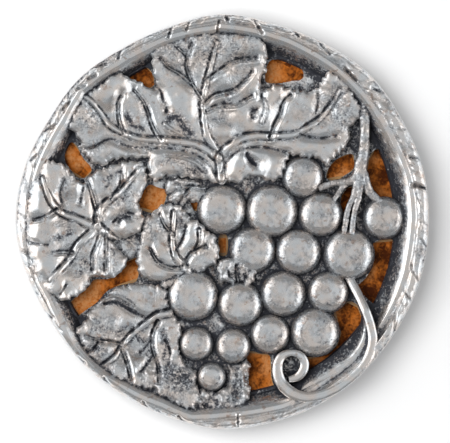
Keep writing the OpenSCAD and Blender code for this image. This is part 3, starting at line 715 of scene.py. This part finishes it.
def feed(node, sockets):
    """Feeds a node's inputs with values or with wires."""
    for key, value in sockets.items():
        if isinstance(value, Wire):
            node.id_data.links.new(value.socket, node.inputs[key])
        else:
            node.inputs[key].default_value = value


def add(tree, kind, sockets=None, out=0, **settings):
    """Adds a node with its properties and inputs set, and returns the wire of one output."""
    made = tree.nodes.new(kind)
    for key, value in settings.items():
        setattr(made, key, value)
    feed(made, sockets or {})
    return Wire(made.outputs[out])


def group(name, kind, takes, gives):
    """A node group with named inputs and outputs, given as (name, socket type, value)."""
    tree = bpy.data.node_groups.new(name, kind)
    for direction, rows in (("INPUT", takes), ("OUTPUT", gives)):
        for label, socket, value in rows:
            made = tree.interface.new_socket(label, in_out=direction, socket_type=socket)
            if value is not None:
                made.default_value = value
    take = tree.nodes.new("NodeGroupInput").outputs
    return tree, {row[0]: Wire(take[row[0]]) for row in takes}, tree.nodes.new("NodeGroupOutput")


def noise(tree, where, size, detail=2.0, seed=0.0):
    """Noise with lumps of a size in millimetres."""
    return add(tree, "ShaderNodeTexNoise",
               {"Vector": where, "W": seed, "Scale": 1 / (size * MM), "Detail": detail},
               "Fac", noise_dimensions="4D")


def spread(value, low, high, to_low=0.0, to_high=1.0):
    """A value's range stretched smoothly onto another."""
    return add(value.tree, "ShaderNodeMapRange", {0: value, 1: low, 2: high, 3: to_low, 4: to_high},
               interpolation_type="SMOOTHSTEP")


def blend(share, first, second, kind="RGBA", **settings):
    """A mix of two colours or two numbers."""
    tree = next(wire.tree for wire in (share, first, second) if isinstance(wire, Wire))
    a, b, out = (6, 7, 2) if kind == "RGBA" else (2, 3, 0)
    return add(tree, "ShaderNodeMix", {0: share, a: first, b: second}, out, data_type=kind, **settings)


def material(name):
    """A new material, its tree and its Principled shader."""
    made = bpy.data.materials.new(name)
    made.use_nodes = True
    tree = made.node_tree
    return made, tree, tree.nodes["Principled BSDF"]


def in_object(tree):
    """Coordinates that stay with the object."""
    return add(tree, "ShaderNodeTexCoord", out="Object")


print("node helpers ready")

# %% [markdown]
# The casting's finish is a shader group: it takes how deep a point lies, raised where painted shade
# is added, and how matt it is, and gives colour, roughness, metal share and fine height. Noise in
# two sizes breaks up the border between polish and black, a third paints faint bluish and warm
# reflections into the metal's colour, and a fourth leaves a few brown flecks.

# %% Finish of the casting
FLOAT, COLOR = "NodeSocketFloat", "NodeSocketColor"
BUMP_DEPTH = 0.00018
finish, take, give = group(
    "Blackened and polished", "ShaderNodeTree",
    [("Hollow", FLOAT, 0.0), ("Matt", FLOAT, 0.0), ("Polished", COLOR, (0.89, 0.88, 0.87, 1)),
     ("Dull", COLOR, (0.40, 0.405, 0.42, 1)), ("Black", COLOR, (0.030, 0.032, 0.040, 1))],
    [("Color", COLOR, None), ("Roughness", FLOAT, None), ("Metallic", FLOAT, None), ("Height", FLOAT, None)])
where = in_object(finish)
matt = take["Matt"]
cloud = noise(finish, where, 3.2, 3)
lump = noise(finish, where, 0.9, 3, 3)
stipple = noise(finish, where, 0.46, 3, 7)
grit = (stipple * 1.5 + lump - 1.25) * (spread(take["Hollow"], 0.0, 0.6, 0.35, 1.5) + matt)
hollow = take["Hollow"] + grit + matt * 0.18
black = spread(hollow, 0.28, 0.95)
dull = spread(hollow, -0.15, 0.6)
# Painted reflection: a faint bluish and warm tint over the metal
painted_reflection_tint = blend(spread(cloud, 0.35, 0.68), (0.91, 0.95, 0.98, 1), (1.0, 0.92, 0.86, 1))
fleck = spread(noise(finish, where, 1.5, 3, 11), 0.60, 0.70) * 0.5
shine = blend(fleck, blend(dull, take["Polished"], take["Dull"]), (0.42, 0.27, 0.19, 1))
shine = blend(1.0, shine, painted_reflection_tint, blend_type="MULTIPLY")
rough = blend(dull, 0.20, 0.36, "FLOAT") + matt * 0.18 + lump * 0.06
fine = (stipple + lump * 0.8) * (dull * 0.35 + matt * 0.8)
feed(give, {"Color": blend(black, shine, take["Black"]), "Roughness": blend(black, rough, 0.6, "FLOAT"),
            "Metallic": blend(black, 1.0, 0.35, "FLOAT"), "Height": fine + cloud * 0.25})

alloy, tree, shader = material("cast_alloy")
depths = {label: add(tree, "ShaderNodeAttribute", out="Fac", attribute_name=label.lower())
          for label in ("Hollow", "Matt")}
look = add(tree, "ShaderNodeGroup", node_tree=finish)
feed(look.socket.node, depths)
bump = add(tree, "ShaderNodeBump", {"Strength": 1.0, "Distance": BUMP_DEPTH, "Height": look.of("Height")})
feed(shader, {"Normal": bump, "Base Color": look.of("Color"), "Roughness": look.of("Roughness"),
              "Metallic": look.of("Metallic")})
print("finish of the casting:", [s.name for s in finish.interface.items_tree])

# %% [markdown]
# ## From heights to solid pieces
# Each piece in plan becomes a closed solid. Delaunay triangles join the points of the outline and
# the grid places inside it, which keeps the teeth crisp. The heights lift the upper side, a wall
# drops from the outline into the web, and a flat underside closes it.


# %% Solid pieces
def corners(mesh):
    """Places of a mesh's points, in millimetres."""
    flat = np.empty(len(mesh.vertices) * 3)
    mesh.vertices.foreach_get("co", flat)
    return flat.reshape(-1, 3) / MM


def store(mesh, **layers):
    """Stores named numbers for each point of a mesh."""
    for label, values in layers.items():
        layer = mesh.attributes.new(label, "FLOAT", "POINT")
        layer.data.foreach_set("value", np.asarray(values, np.float32))


def shown(name, data):
    """A new object in the scene."""
    made = bpy.data.objects.new(name, data)
    bpy.context.scene.collection.objects.link(made)
    return made


def triangles(points, edges, holes=None):
    """Triangles between the points that keep the given edges and leave out the holes."""
    made = delaunay_2d_cdt([Vector(p) for p in points], [tuple(e) for e in edges], [], 2, 1e-6)
    flat, faces = np.array([tuple(v) for v in made[0]]), np.array(made[2])
    if holes is not None:
        faces = faces[sample(holes.astype(float), flat[faces].mean(1)) < 0.5]
    return flat, faces


def loops(outlines):
    """Edges that run round each outline, with the points numbered through."""
    starts = np.cumsum([0] + [len(outline) for outline in outlines])
    return np.vstack([np.c_[k, np.roll(k, -1)] for k in map(np.arange, starts, starts[1:])])


# Shares of the two depths in how hollow a place counts, and the range of it
DEEP, FAR, HOLLOW_RANGE = 0.7, 0.25, (-0.3, 0.85)


def store_black_and_shade(piece, matt=0.0, black_and_shade=0.0, hollow=None):
    """Stores how deep each point of a piece lies under its surroundings, plus added black and painted shade,
    and how matt it is.
    """
    points = corners(piece.data)
    if hollow is None:
        deep = sample(average, points[:, :2]) - points[:, 2]
        wide = sample(wide_average, points[:, :2]) - points[:, 2]
        hollow = np.clip(DEEP * deep + FAR * wide, *HOLLOW_RANGE) + black_and_shade
    store(piece.data, hollow=hollow, matt=matt * np.ones(len(points)))


def solid(name, points, faces, finish_of, matt=0.0, sharp=50, black_and_shade=0.0):
    """A mesh piece from points in millimetres."""
    mesh = bpy.data.meshes.new(name)
    mesh.from_pydata((np.asarray(points) * MM).tolist(), [], faces)
    mesh.shade_smooth()
    mesh.set_sharp_from_angle(angle=math.radians(sharp))
    mesh.materials.append(finish_of)
    piece = shown(name, mesh)
    store_black_and_shade(piece, matt, black_and_shade)
    return piece


def plate(name, outlines, inner, heights, low, holes=None):
    """A closed solid with a shaped top over outlines, down to a flat underside."""
    flat, tops = triangles(np.vstack(list(outlines) + [inner]), loops(outlines), holes)
    z, matt, black_and_shade = heights(flat)
    around = np.vstack([tops[:, [0, 1]], tops[:, [1, 2]], tops[:, [2, 0]]])
    codes = around[:, 0] * len(flat) + around[:, 1]
    border = around[~np.isin(codes, around[:, 1] * len(flat) + around[:, 0])]
    rim, place_in = np.unique(border, return_inverse=True)
    below_edges = place_in.reshape(border.shape)
    below, bottoms = triangles(flat[rim], below_edges, holes)
    assert np.allclose(below, flat[rim], atol=1e-4), name
    n = len(flat)
    walls = np.c_[border[:, 0], below_edges[:, 0] + n, below_edges[:, 1] + n, border[:, 1]]
    points = np.vstack([np.c_[flat, z], np.c_[below, np.full(len(below), low)]])
    faces = tops.tolist() + (bottoms[:, ::-1] + n).tolist() + walls.tolist()
    bare = np.zeros(len(below))
    return solid(name, points, faces, alloy, np.r_[matt, bare + 1], black_and_shade=np.r_[black_and_shade, bare])


def well_inside(outline):
    """Grid places inside an outline that keep clear of its edge."""
    inner = spots[cover(outline)]
    return inner[edge_gap(inner, outline) > CELL * 0.6]


pieces = []
for name, outline in forms.items():
    pieces.append(plate(name, [outline], well_inside(outline),
                        lambda flat: leaf_heights(flat, name, outline), root_z))
    print(f"{name}: {len(pieces[-1].data.polygons)} faces")
pieces.append(plate("tendril_blade", [blade_outline], well_inside(blade_outline), blade_heights, root_z))


def web_heights(flat):
    """The web's rough cast surface, darker at the rim's foot and round the grapes."""
    z = web_z + 0.35 * ripple(flat, 1.3, 31) + 0.25 * ripple(flat, 2.6, 32)
    by_the_rim = np.clip(np.linalg.norm(flat, axis=1) - 41.8, 0, 1)
    gaps = [np.linalg.norm(flat - middle, axis=1) - radius for middle, radius in zip(middles, radii)]
    by_a_grape = bell(np.min(gaps, axis=0).clip(0), 0.55)
    black_and_shade = 0.2 * ripple(flat, 1.8, 33) - 0.3 + 0.9 * by_the_rim + 0.7 * by_a_grape
    return z, np.ones(len(flat)), black_and_shade


round_edge = np.arange(360) * math.pi / 180
web_edge = np.c_[np.cos(round_edge), np.sin(round_edge)] * WEB_R
coarse = np.zeros(relief.shape, bool)
coarse[::2, ::2] = True
inner = spots[coarse & on_web & (from_middle < WEB_R - CELL * 2)]
inner = inner[edge_gap(inner, np.vstack(openings)) > CELL]
pieces.append(plate("web", [web_edge] + openings, inner, web_heights, seat_z, open_places))
print(f"web: {len(pieces[-1].data.polygons)} faces")

# %% [markdown]
# The rim is one closed sweep: a ring of stations, each with the points of its section from the
# foot of the inner wall over the band and the bark, down the outside, and back under the foot.

# %% Rim
STATIONS = 900
STEPS_OVER, STEPS_DOWN = 56, 14
# How far the outside leans in at its foot, the gap round the pad, and the wall's matt and black
FOOT_LEAN, RECESS_GAP = 0.7, 0.3
WALL_MATT, WALL_DIRT = 0.35, -0.66
station_turns = np.arange(STATIONS) * 2 * math.pi / STATIONS
station_edges = rim_edge(station_turns)
rings = []
for share in np.linspace(0, 1, STEPS_OVER):
    r = WALL_FOOT * MM_PER_PX + (station_edges - WALL_FOOT * MM_PER_PX) * share
    rings.append((r, rim_top(r, station_turns)))
top = rings[-1][1]
still = 0 * station_turns
for share in np.linspace(0, 1, STEPS_DOWN + 1)[1:]:
    lumps = ripple(np.c_[station_turns * BARK_R, share * 9 + still], 2.4, 24)
    grain = ripple(np.c_[station_turns * BARK_R + share * 4, share * 3 + still], 0.8, 26)
    notch = bell(twists(station_edges / MM_PER_PX - 9 * share, station_turns)[0], 0.45)
    bulge = (0.2 * lumps + 0.1 * grain - 0.45 * notch - 0.1) * math.sin(math.pi * share)
    rings.append((station_edges - FOOT_LEAN * share**2 + bulge, top + (foot_z - top) * share))
for level in (foot_z, seat_z):
    rings.append((np.full(STATIONS, pad_r + RECESS_GAP), np.full(STATIONS, level)))
points = np.stack([np.c_[r * np.cos(station_turns), r * np.sin(station_turns), z] for r, z in rings], axis=1)
count = len(rings)
i, j = np.meshgrid(np.arange(STATIONS), np.arange(count), indexing="ij")
i1, j1 = (i + 1) % STATIONS, (j + 1) % count
faces = np.stack([i * count + j, i * count + j1, i1 * count + j1, i1 * count + j], axis=2).reshape(-1, 4)
ring_px = np.linalg.norm(points[..., :2], axis=2).ravel() / MM_PER_PX
from_edge = np.repeat(station_edges / MM_PER_PX, count) - ring_px
ring_turns = np.arctan2(points[..., 1], points[..., 0]).ravel()
ring_degrees = np.degrees(ring_turns) % 360
band_px = along_band(ring_px, ring_turns)
rim_matt = np.interp(band_px, [182, 186, 191, 198], [1, 0.1, 0.1, 0.25])
rim_black_and_shade = np.interp(band_px, [182, 185, 188, 195, 200], [0.40, 0.20, -0.10, -0.02, 0.08])
rim_black_and_shade *= np.interp(ripple(points[..., :2].reshape(-1, 2), 4.0, 61), [-1, 1], [0.3, 1.8])
rim_black_and_shade += np.interp(from_edge, [0, 0.6, 2, 5], [-2.0, -1.0, -0.3, 0.0])
# Painted shade darkens the edge on the upper left, and the slope on the left is made lighter
rim_black_and_shade += 0.4 * bell(ring_degrees - 128, 30) * np.clip((7 - from_edge) / 5, 0, 1)
rim_black_and_shade -= 0.35 * bell(ring_degrees - 182, 20) * np.clip((ring_px - WALL_TOP) / 5, 0, 1)
on_wall = np.tile(np.arange(count) >= STEPS_OVER, STATIONS)
rim_matt[on_wall], rim_black_and_shade[on_wall] = WALL_MATT, WALL_DIRT
pieces.append(solid("rim", points.reshape(-1, 3), faces.tolist(), alloy, rim_matt, 70, rim_black_and_shade))
print(f"rim: {len(faces)} faces")

# %% [markdown]
# ## Grapes
# Seventeen grapes share one form, so one pattern is turned on the lathe and Geometry Nodes set it
# on the middle of each grape, scaled by its radius and turned a little. Realising the instances
# gives a plain mesh, because an export drops instances.


# %% Geometry helpers
def grow(name, base, tree, values):
    """Runs a geometry tree over a base mesh and returns the result as a plain mesh piece."""
    modifier = base.modifiers.new("grow", "NODES")
    modifier.node_group = tree
    for socket in tree.interface.items_tree:
        if socket.name in values and socket.in_out == "INPUT":
            modifier[socket.identifier] = values[socket.name]
    base.update_tag()
    ready = base.evaluated_get(bpy.context.evaluated_depsgraph_get())
    mesh = bpy.data.meshes.new_from_object(ready)
    mesh.name = name
    bpy.data.objects.remove(base)
    return shown(name, mesh)


def guide(points, edges, **layers):
    """A bare mesh of points and edges that a geometry tree works from."""
    mesh = bpy.data.meshes.new("guide")
    mesh.from_pydata((np.asarray(points) * MM).tolist(), edges, [])
    store(mesh, **layers)
    return shown("guide", mesh)


def named(tree, label):
    """A number stored on the guide."""
    return add(tree, "GeometryNodeInputNamedAttribute", {"Name": label}, data_type="FLOAT")


def end_tree(tree, geometry, take, give):
    """Ends a geometry tree: instances become plain mesh and get their material."""
    plain = add(tree, "GeometryNodeRealizeInstances", {"Geometry": geometry})
    coated = add(tree, "GeometryNodeSetMaterial", {"Geometry": plain, "Material": take["Finish"]})
    feed(give, {"Geometry": coated})


GEOMETRY, OBJECT, MATERIAL = "NodeSocketGeometry", "NodeSocketObject", "NodeSocketMaterial"
print("geometry helpers ready")

# %% Grapes
SIDES, RISES = 72, 26
# Depth of the dimple below the middle of a grape, height of the ripple over it, its largest turn
NAVEL, WAVE, MOST_TURN = 0.12, 0.05, 0.7
lathe = [(share, web_z + (GRAPE_TOP - web_z) * grape_profile(share))
         for share in np.sin(np.linspace(0, 1, RISES) * math.pi / 2) ** 0.9]
lathe.append((1.0, root_z))
angles = np.arange(SIDES) * 2 * math.pi / SIDES
points = [(0, 0, GRAPE_TOP)]
for share, z in lathe[1:]:
    x, y = share * np.cos(angles), share * np.sin(angles)
    navel = np.exp(-((x / 0.3) ** 2 + ((y + 0.42) / 0.09) ** 2))
    low = z - NAVEL * navel + WAVE * ripple(np.c_[x, y] * 3, 1.0, 41) * (share < 0.99)
    points += list(zip(x, y, low))
faces = [(0, 1 + k, 1 + (k + 1) % SIDES) for k in range(SIDES)]
for start in range(1, 1 + (len(lathe) - 2) * SIDES, SIDES):
    for k in range(SIDES):
        a, b = start + k, start + (k + 1) % SIDES
        faces.append((a, a + SIDES, b + SIDES, b))
faces.append(tuple(1 + (len(lathe) - 2) * SIDES + k for k in reversed(range(SIDES))))
pattern_mesh = bpy.data.meshes.new("grape_pattern")
pattern_mesh.from_pydata([(x, y, z * MM) for x, y, z in points], [], faces)
pattern_mesh.shade_smooth()
pattern = bpy.data.objects.new("grape_pattern", pattern_mesh)

bunch, take, give = group(
    "Bunch of grapes", "GeometryNodeTree",
    [("Geometry", GEOMETRY, None), ("Pattern", OBJECT, None), ("Size", FLOAT, 1.0),
     ("Finish", MATERIAL, None)],
    [("Geometry", GEOMETRY, None)])
across = named(bunch, "radius") * take["Size"]
scale = add(bunch, "ShaderNodeCombineXYZ", {"X": across, "Y": across, "Z": 1.0})
euler = add(bunch, "ShaderNodeCombineXYZ", {"Z": named(bunch, "turn")})
rotation = add(bunch, "FunctionNodeEulerToRotation", {"Euler": euler})
one = add(bunch, "GeometryNodeObjectInfo", {"Object": take["Pattern"]}, "Geometry")
many = add(bunch, "GeometryNodeInstanceOnPoints",
           {"Points": take["Geometry"], "Instance": one, "Rotation": rotation, "Scale": scale})
end_tree(bunch, many, take, give)

turns_of = np.random.default_rng(3).uniform(-MOST_TURN, MOST_TURN, len(GRAPES_PX))
base = guide(np.c_[middles, 0 * radii], [], radius=radii * MM, turn=turns_of)
grapes = grow("grapes", base, bunch, {"Pattern": pattern, "Size": 1.0, "Finish": alloy})
bpy.data.objects.remove(pattern)
# The top of a grape has smudges and pits and a faint ring of painted shade where it starts to slope, and its
# foot is black
flat = corners(grapes.data)[:, :2]
how_far = np.min([np.linalg.norm(flat - middle, axis=1) / radius
                  for middle, radius in zip(middles, radii)], axis=0)
# The small rise at 0.58 of the radius is a ring of painted shade
tone = np.interp(how_far, [0, 0.5, 0.58, 0.76, 0.85, 0.96, 1], [0.0, 0.0, 0.2, 0.0, 0.14, 0.30, 0.9])
smudge = 0.22 * ripple(flat, 1.9, 62) + 0.16 * ripple(flat, 0.8, 63)
pits = 1.2 * np.clip(ripple(flat, 0.7, 64) - 0.72, 0, 0.5)
tone += np.where(how_far < 0.6, 1.3, 0.3) * smudge * (how_far < 0.9) + pits * (how_far < 0.75)
store_black_and_shade(grapes, np.interp(how_far, [0.76, 0.86, 1], [0.05, 0.9, 1]), hollow=tone)
pieces.append(grapes)
print(f"grapes: {len(grapes.data.polygons)} faces")

# %% [markdown]
# ## Stem and tendril
# A rib of constant make along a course is a sweep. The tree turns a guide line into a curve and
# sweeps a round section along it, as thick as the guide says, with noise for the bark. The underside
# goes down to a level that the guide gives: into the web, but not through the rim's outer wall.

# %% Stem and tendril
# Bark, matt share and black of each rib
RIB_LOOKS = {"stem": (0.0005, 0.4, 0.45), "tendril": (0.0001, 0.0, 0.15)}
# Radii between which the underside rises, and the level that it rises to
LOW_RISE, LOW_OVER_RIM = [47.6, 48.6], 6.6
# Distance between the points of a rib's course, and the sides of its section
RIB_STEP, RIB_SIDES = 0.3, 32
sweep, take, give = group(
    "Rib along a course", "GeometryNodeTree",
    [("Geometry", GEOMETRY, None), ("Sides", "NodeSocketInt", 20), ("Flatness", FLOAT, 1.0),
     ("Bark", FLOAT, 0.0001), ("Grain", FLOAT, 900.0), ("Finish", MATERIAL, None)],
    [("Geometry", GEOMETRY, None)])
curve = add(sweep, "GeometryNodeMeshToCurve", {0: take["Geometry"]})
upright = add(sweep, "GeometryNodeSetCurveNormal", {"Curve": curve}, mode="Z_UP")
section = add(sweep, "GeometryNodeCurvePrimitiveCircle", {"Resolution": take["Sides"], "Radius": 1.0})
tube = add(sweep, "GeometryNodeCurveToMesh",
           {"Curve": upright, "Profile Curve": section, "Scale": named(sweep, "half"), "Fill Caps": True})
lumps = add(sweep, "ShaderNodeTexNoise", {"Scale": take["Grain"], "Detail": 2.0}, "Fac")
normal = add(sweep, "GeometryNodeInputNormal")
spot = add(sweep, "ShaderNodeSeparateXYZ", {0: add(sweep, "GeometryNodeInputPosition")})
middle = named(sweep, "middle")
above = (spot.of("Z") - middle) * take["Flatness"]
under = add(sweep, "ShaderNodeSeparateXYZ", {0: normal}, "Z").maths("LESS_THAN", -0.05)
level = blend(under, middle + above, named(sweep, "low"), "FLOAT")
new_spot = add(sweep, "ShaderNodeCombineXYZ", {"X": spot.of("X"), "Y": spot.of("Y"), "Z": level})
rooted = add(sweep, "GeometryNodeSetPosition", {"Geometry": tube, "Position": new_spot})
push = (lumps - 0.5) * take["Bark"]
shift = add(sweep, "ShaderNodeVectorMath", {0: normal, "Scale": push}, operation="SCALE")
barky = add(sweep, "GeometryNodeSetPosition", {"Geometry": rooted, "Offset": shift})
end_tree(sweep, add(sweep, "GeometryNodeSetShadeSmooth", {"Geometry": barky}), take, give)

for name, ribs in RIBS_PX.items():
    courses, edges, start = [], [], 0
    for line_px, halves_px, tops in ribs:
        line = smooth(place(line_px), 10)
        half, top = along_rib(np.linspace(0, 1, len(line)), halves_px, tops)
        courses.append(even(np.c_[line, top - half * RIB_FLATNESS[name], half], RIB_STEP))
        edges += [(k, k + 1) for k in range(start, start + len(courses[-1]) - 1)]
        start += len(courses[-1])
    course = np.vstack(courses)
    lows = np.interp(np.linalg.norm(course[:, :2], axis=1), LOW_RISE, [root_z, LOW_OVER_RIM])
    base = guide(course[:, :3], edges, half=course[:, 3] * MM, middle=course[:, 2] * MM, low=lows * MM)
    bark, matt, black_and_shade = RIB_LOOKS[name]
    piece = grow(name, base, sweep,
                 {"Sides": RIB_SIDES, "Flatness": RIB_FLATNESS[name], "Bark": bark, "Finish": alloy})
    store_black_and_shade(piece, matt, black_and_shade)
    pieces.append(piece)
    print(f"{name}: {len(piece.data.polygons)} faces")

# %% [markdown]
# ## Cork pad
# Agglomerated cork is ground bark pressed with a binder: rounded grains from 1 to 3 mm, each with
# its own brown, and darker seams between. Broad patches of painted light and shade make it paler,
# even tan, in some places and darker in others. The pad is a disc with eased edges.

# %% Cork
PAD_EDGE, PAD_SIDES = 0.35, 180
CORK_BUMP_DEPTH = 0.0002
cork, take, give = group(
    "Cork grain", "ShaderNodeTree",
    [("Light", COLOR, (0.42, 0.120, 0.016, 1)), ("Dark", COLOR, (0.05, 0.011, 0.002, 1)),
     ("Pale", COLOR, (0.47, 0.215, 0.08, 1)), ("Grain size", FLOAT, 1.6)],
    [("Color", COLOR, None), ("Height", FLOAT, None)])
where = in_object(cork)
per_metre = add(cork, "ShaderNodeMath", {0: 1 / MM, 1: take["Grain size"]}, operation="DIVIDE")
cells = {"Vector": where, "Scale": per_metre}
shade = add(cork, "ShaderNodeSeparateColor", {0: add(cork, "ShaderNodeTexVoronoi", cells, "Color")})
seams = spread(add(cork, "ShaderNodeTexVoronoi", cells, feature="DISTANCE_TO_EDGE"), 0.0, 0.12, 0.85, 1.0)
mottle = noise(cork, where, 0.7, 4)
patch = noise(cork, where, 7.0, 1, 101)
# The broad patches here are painted light and shade, over the grains' own browns
mix = shade * 0.22 + mottle * 0.7 + spread(patch, 0.3, 0.72, 0.0, 0.42)
browns = blend(spread(mix, 0.38, 0.86), take["Dark"], take["Light"])
# The palest painted light turns the pad tan
painted_light_patches = spread(patch, 0.47, 0.62, 0.0, 0.85) * spread(mottle, 0.3, 0.6)
browns = blend(painted_light_patches, browns, take["Pale"])
feed(give, {"Color": blend(1.0, browns, seams, blend_type="MULTIPLY"), "Height": seams + mottle})

cork_finish, tree, shader = material("cork")
look = add(tree, "ShaderNodeGroup", node_tree=cork)
bump = add(tree, "ShaderNodeBump",
           {"Strength": 0.8, "Distance": CORK_BUMP_DEPTH, "Height": look.of("Height")})
feed(shader, {"Roughness": 0.85, "Specular IOR Level": 0.2, "Base Color": look.of("Color"), "Normal": bump})

angles = np.arange(PAD_SIDES) * 2 * math.pi / PAD_SIDES
points, faces = [(0, 0, 0), (0, 0, pad_top_z)], []
for r, z in ((pad_r - PAD_EDGE, 0.0), (pad_r - PAD_EDGE * 0.3, PAD_EDGE * 0.3), (pad_r, PAD_EDGE),
             (pad_r, pad_top_z - PAD_EDGE), (pad_r - PAD_EDGE, pad_top_z)):
    points += list(zip(r * np.cos(angles), r * np.sin(angles), np.full(PAD_SIDES, z)))
for k in range(PAD_SIDES):
    a, b = 2 + k, 2 + (k + 1) % PAD_SIDES
    faces.append((0, b, a))
    for step in range(0, 4 * PAD_SIDES, PAD_SIDES):
        faces.append((a + step, b + step, b + step + PAD_SIDES, a + step + PAD_SIDES))
    faces.append((1, a + 4 * PAD_SIDES, b + 4 * PAD_SIDES))
pad = solid("cork_disc", points, faces, cork_finish, sharp=30)
print(f"cork pad: {len(faces)} faces")

# %% [markdown]
# ## Adhesive
# The film of dried adhesive keeps its CAD solid and only gets a finish: a clear amber coat that
# is a little uneven.

# %% Adhesive
glue, tree, shader = material("dried_adhesive")
patch = noise(tree, in_object(tree), 3.0, 3)
feed(shader, {"Base Color": blend(patch, (0.20, 0.10, 0.04, 1), (0.42, 0.25, 0.10, 1)),
              "Roughness": spread(patch, 0.3, 0.7, 0.25, 0.5)})
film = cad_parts["adhesive_film"]
film.data.materials.clear()
film.data.materials.append(glue)
print("finish of the adhesive ready")

# %% [markdown]
# ## Studio
# The camera looks straight down as in the photograph. One soft lamp near the zenith on the left
# throws the pale shadow on the right, and the metal doesn't mirror it. What the metal mirrors is
# the sky: grey, brighter overhead, with two soft glows left and right that put white streaks on
# every polished slope towards them. For the camera alone the sky is white, and the floor glows a
# little, so that the ground is white right up to the shadow.

# %% Studio
scene = bpy.context.scene
CAMERA_HEIGHT, SENSOR = 1.5, 36.0
PHOTO_WIDTH_PX = 450
LAMP_AT, LAMP_SIZE, LAMP_RADIANCE = (-0.45, 0.10, 0.89), 0.72, 6.9
# Soft glows round the coaster: direction, cosines at which a glow starts and is full, strength
GLOWS = [((-0.86, 0.20, 0.46), 0.76, 0.96, 1.55), ((0.90, -0.06, 0.40), 0.78, 0.97, 1.3)]
FLOOR_GREY, FLOOR_GLOW = 0.65, 0.075
FLOOR_REACH, FLOOR_DROP = 4, 1e-4
camera_data = bpy.data.cameras.new("camera")
camera_data.sensor_width = SENSOR
camera_data.lens = SENSOR * CAMERA_HEIGHT / (PHOTO_WIDTH_PX * MM_PER_PX * MM)
camera = shown("camera", camera_data)
camera.location = ((PHOTO_WIDTH_PX / 2 - MIDDLE_PX[0]) * MM_PER_PX * MM, 0, CAMERA_HEIGHT + crest_z * MM)
scene.camera = camera

lamp = bpy.data.lights.new("key_lamp", "AREA")
lamp.shape = "RECTANGLE"
lamp.size = lamp.size_y = LAMP_SIZE
lamp.energy = LAMP_RADIANCE * math.pi * LAMP_SIZE**2
key = shown("key_lamp", lamp)
key.location = LAMP_AT
key.rotation_euler = (-Vector(LAMP_AT)).to_track_quat("-Z", "Y").to_euler()
key.visible_camera = False
key.visible_glossy = False

world = bpy.data.worlds.new("studio")
scene.world = world
world.use_nodes = True
tree = world.node_tree
towards = add(tree, "ShaderNodeTexCoord", out="Generated")
level = spread(add(tree, "ShaderNodeSeparateXYZ", {0: towards}, "Z"), 0.72, 0.93, 0.29, 0.57)
for way, low, high, strength in GLOWS:
    cosine = add(tree, "ShaderNodeVectorMath", {0: towards, 1: Vector(way).normalized()}, "Value",
                 operation="DOT_PRODUCT")
    level = level + spread(cosine, low, high, 0.0, strength)
clutter = add(tree, "ShaderNodeTexNoise", {"Vector": towards, "Scale": 2.6, "Detail": 2.0}, "Fac")
level = level * spread(clutter, 0.25, 0.75, 0.78, 1.22)
level = blend(add(tree, "ShaderNodeLightPath", out="Is Camera Ray"), level, 1.0, "FLOAT")
feed(tree.nodes["Background"], {"Strength": level, "Color": (0.985, 0.99, 1.0, 1)})

floor_mesh = bpy.data.meshes.new("floor")
floor_mesh.from_pydata([(x * FLOOR_REACH, y * FLOOR_REACH, -FLOOR_DROP)
                        for x, y in ((-1, -1), (1, -1), (1, 1), (-1, 1))], [], [(0, 1, 2, 3)])
floor = shown("floor", floor_mesh)
paper, tree, shader = material("paper")
feed(shader, {"Base Color": (FLOOR_GREY, FLOOR_GREY, FLOOR_GREY, 1), "Roughness": 0.9})
path = add(tree, "ShaderNodeLightPath", out="Is Camera Ray")
seen = add(tree, "ShaderNodeMath", {0: path + path.of("Is Glossy Ray"), 1: path.of("Is Transmission Ray")},
           use_clamp=True)
glow = add(tree, "ShaderNodeEmission", {"Color": (1, 1, 1, 1), "Strength": seen * FLOOR_GLOW})
both = add(tree, "ShaderNodeAddShader", {0: Wire(shader.outputs[0]), 1: glow})
feed(tree.nodes["Material Output"], {"Surface": both})
floor_mesh.materials.append(paper)
scene.view_settings.view_transform = "Standard"
print("studio ready")

# %% [markdown]
# ## Riding and hand-over
# All metal pieces stand for the casting, and the disc for the cork pad. Nothing moves, so every
# piece rides on the one body.

# %% Hand-over
for piece in pieces:
    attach(piece, "root")
    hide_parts("casting")
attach(pad, "root")
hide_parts("cork_pad")
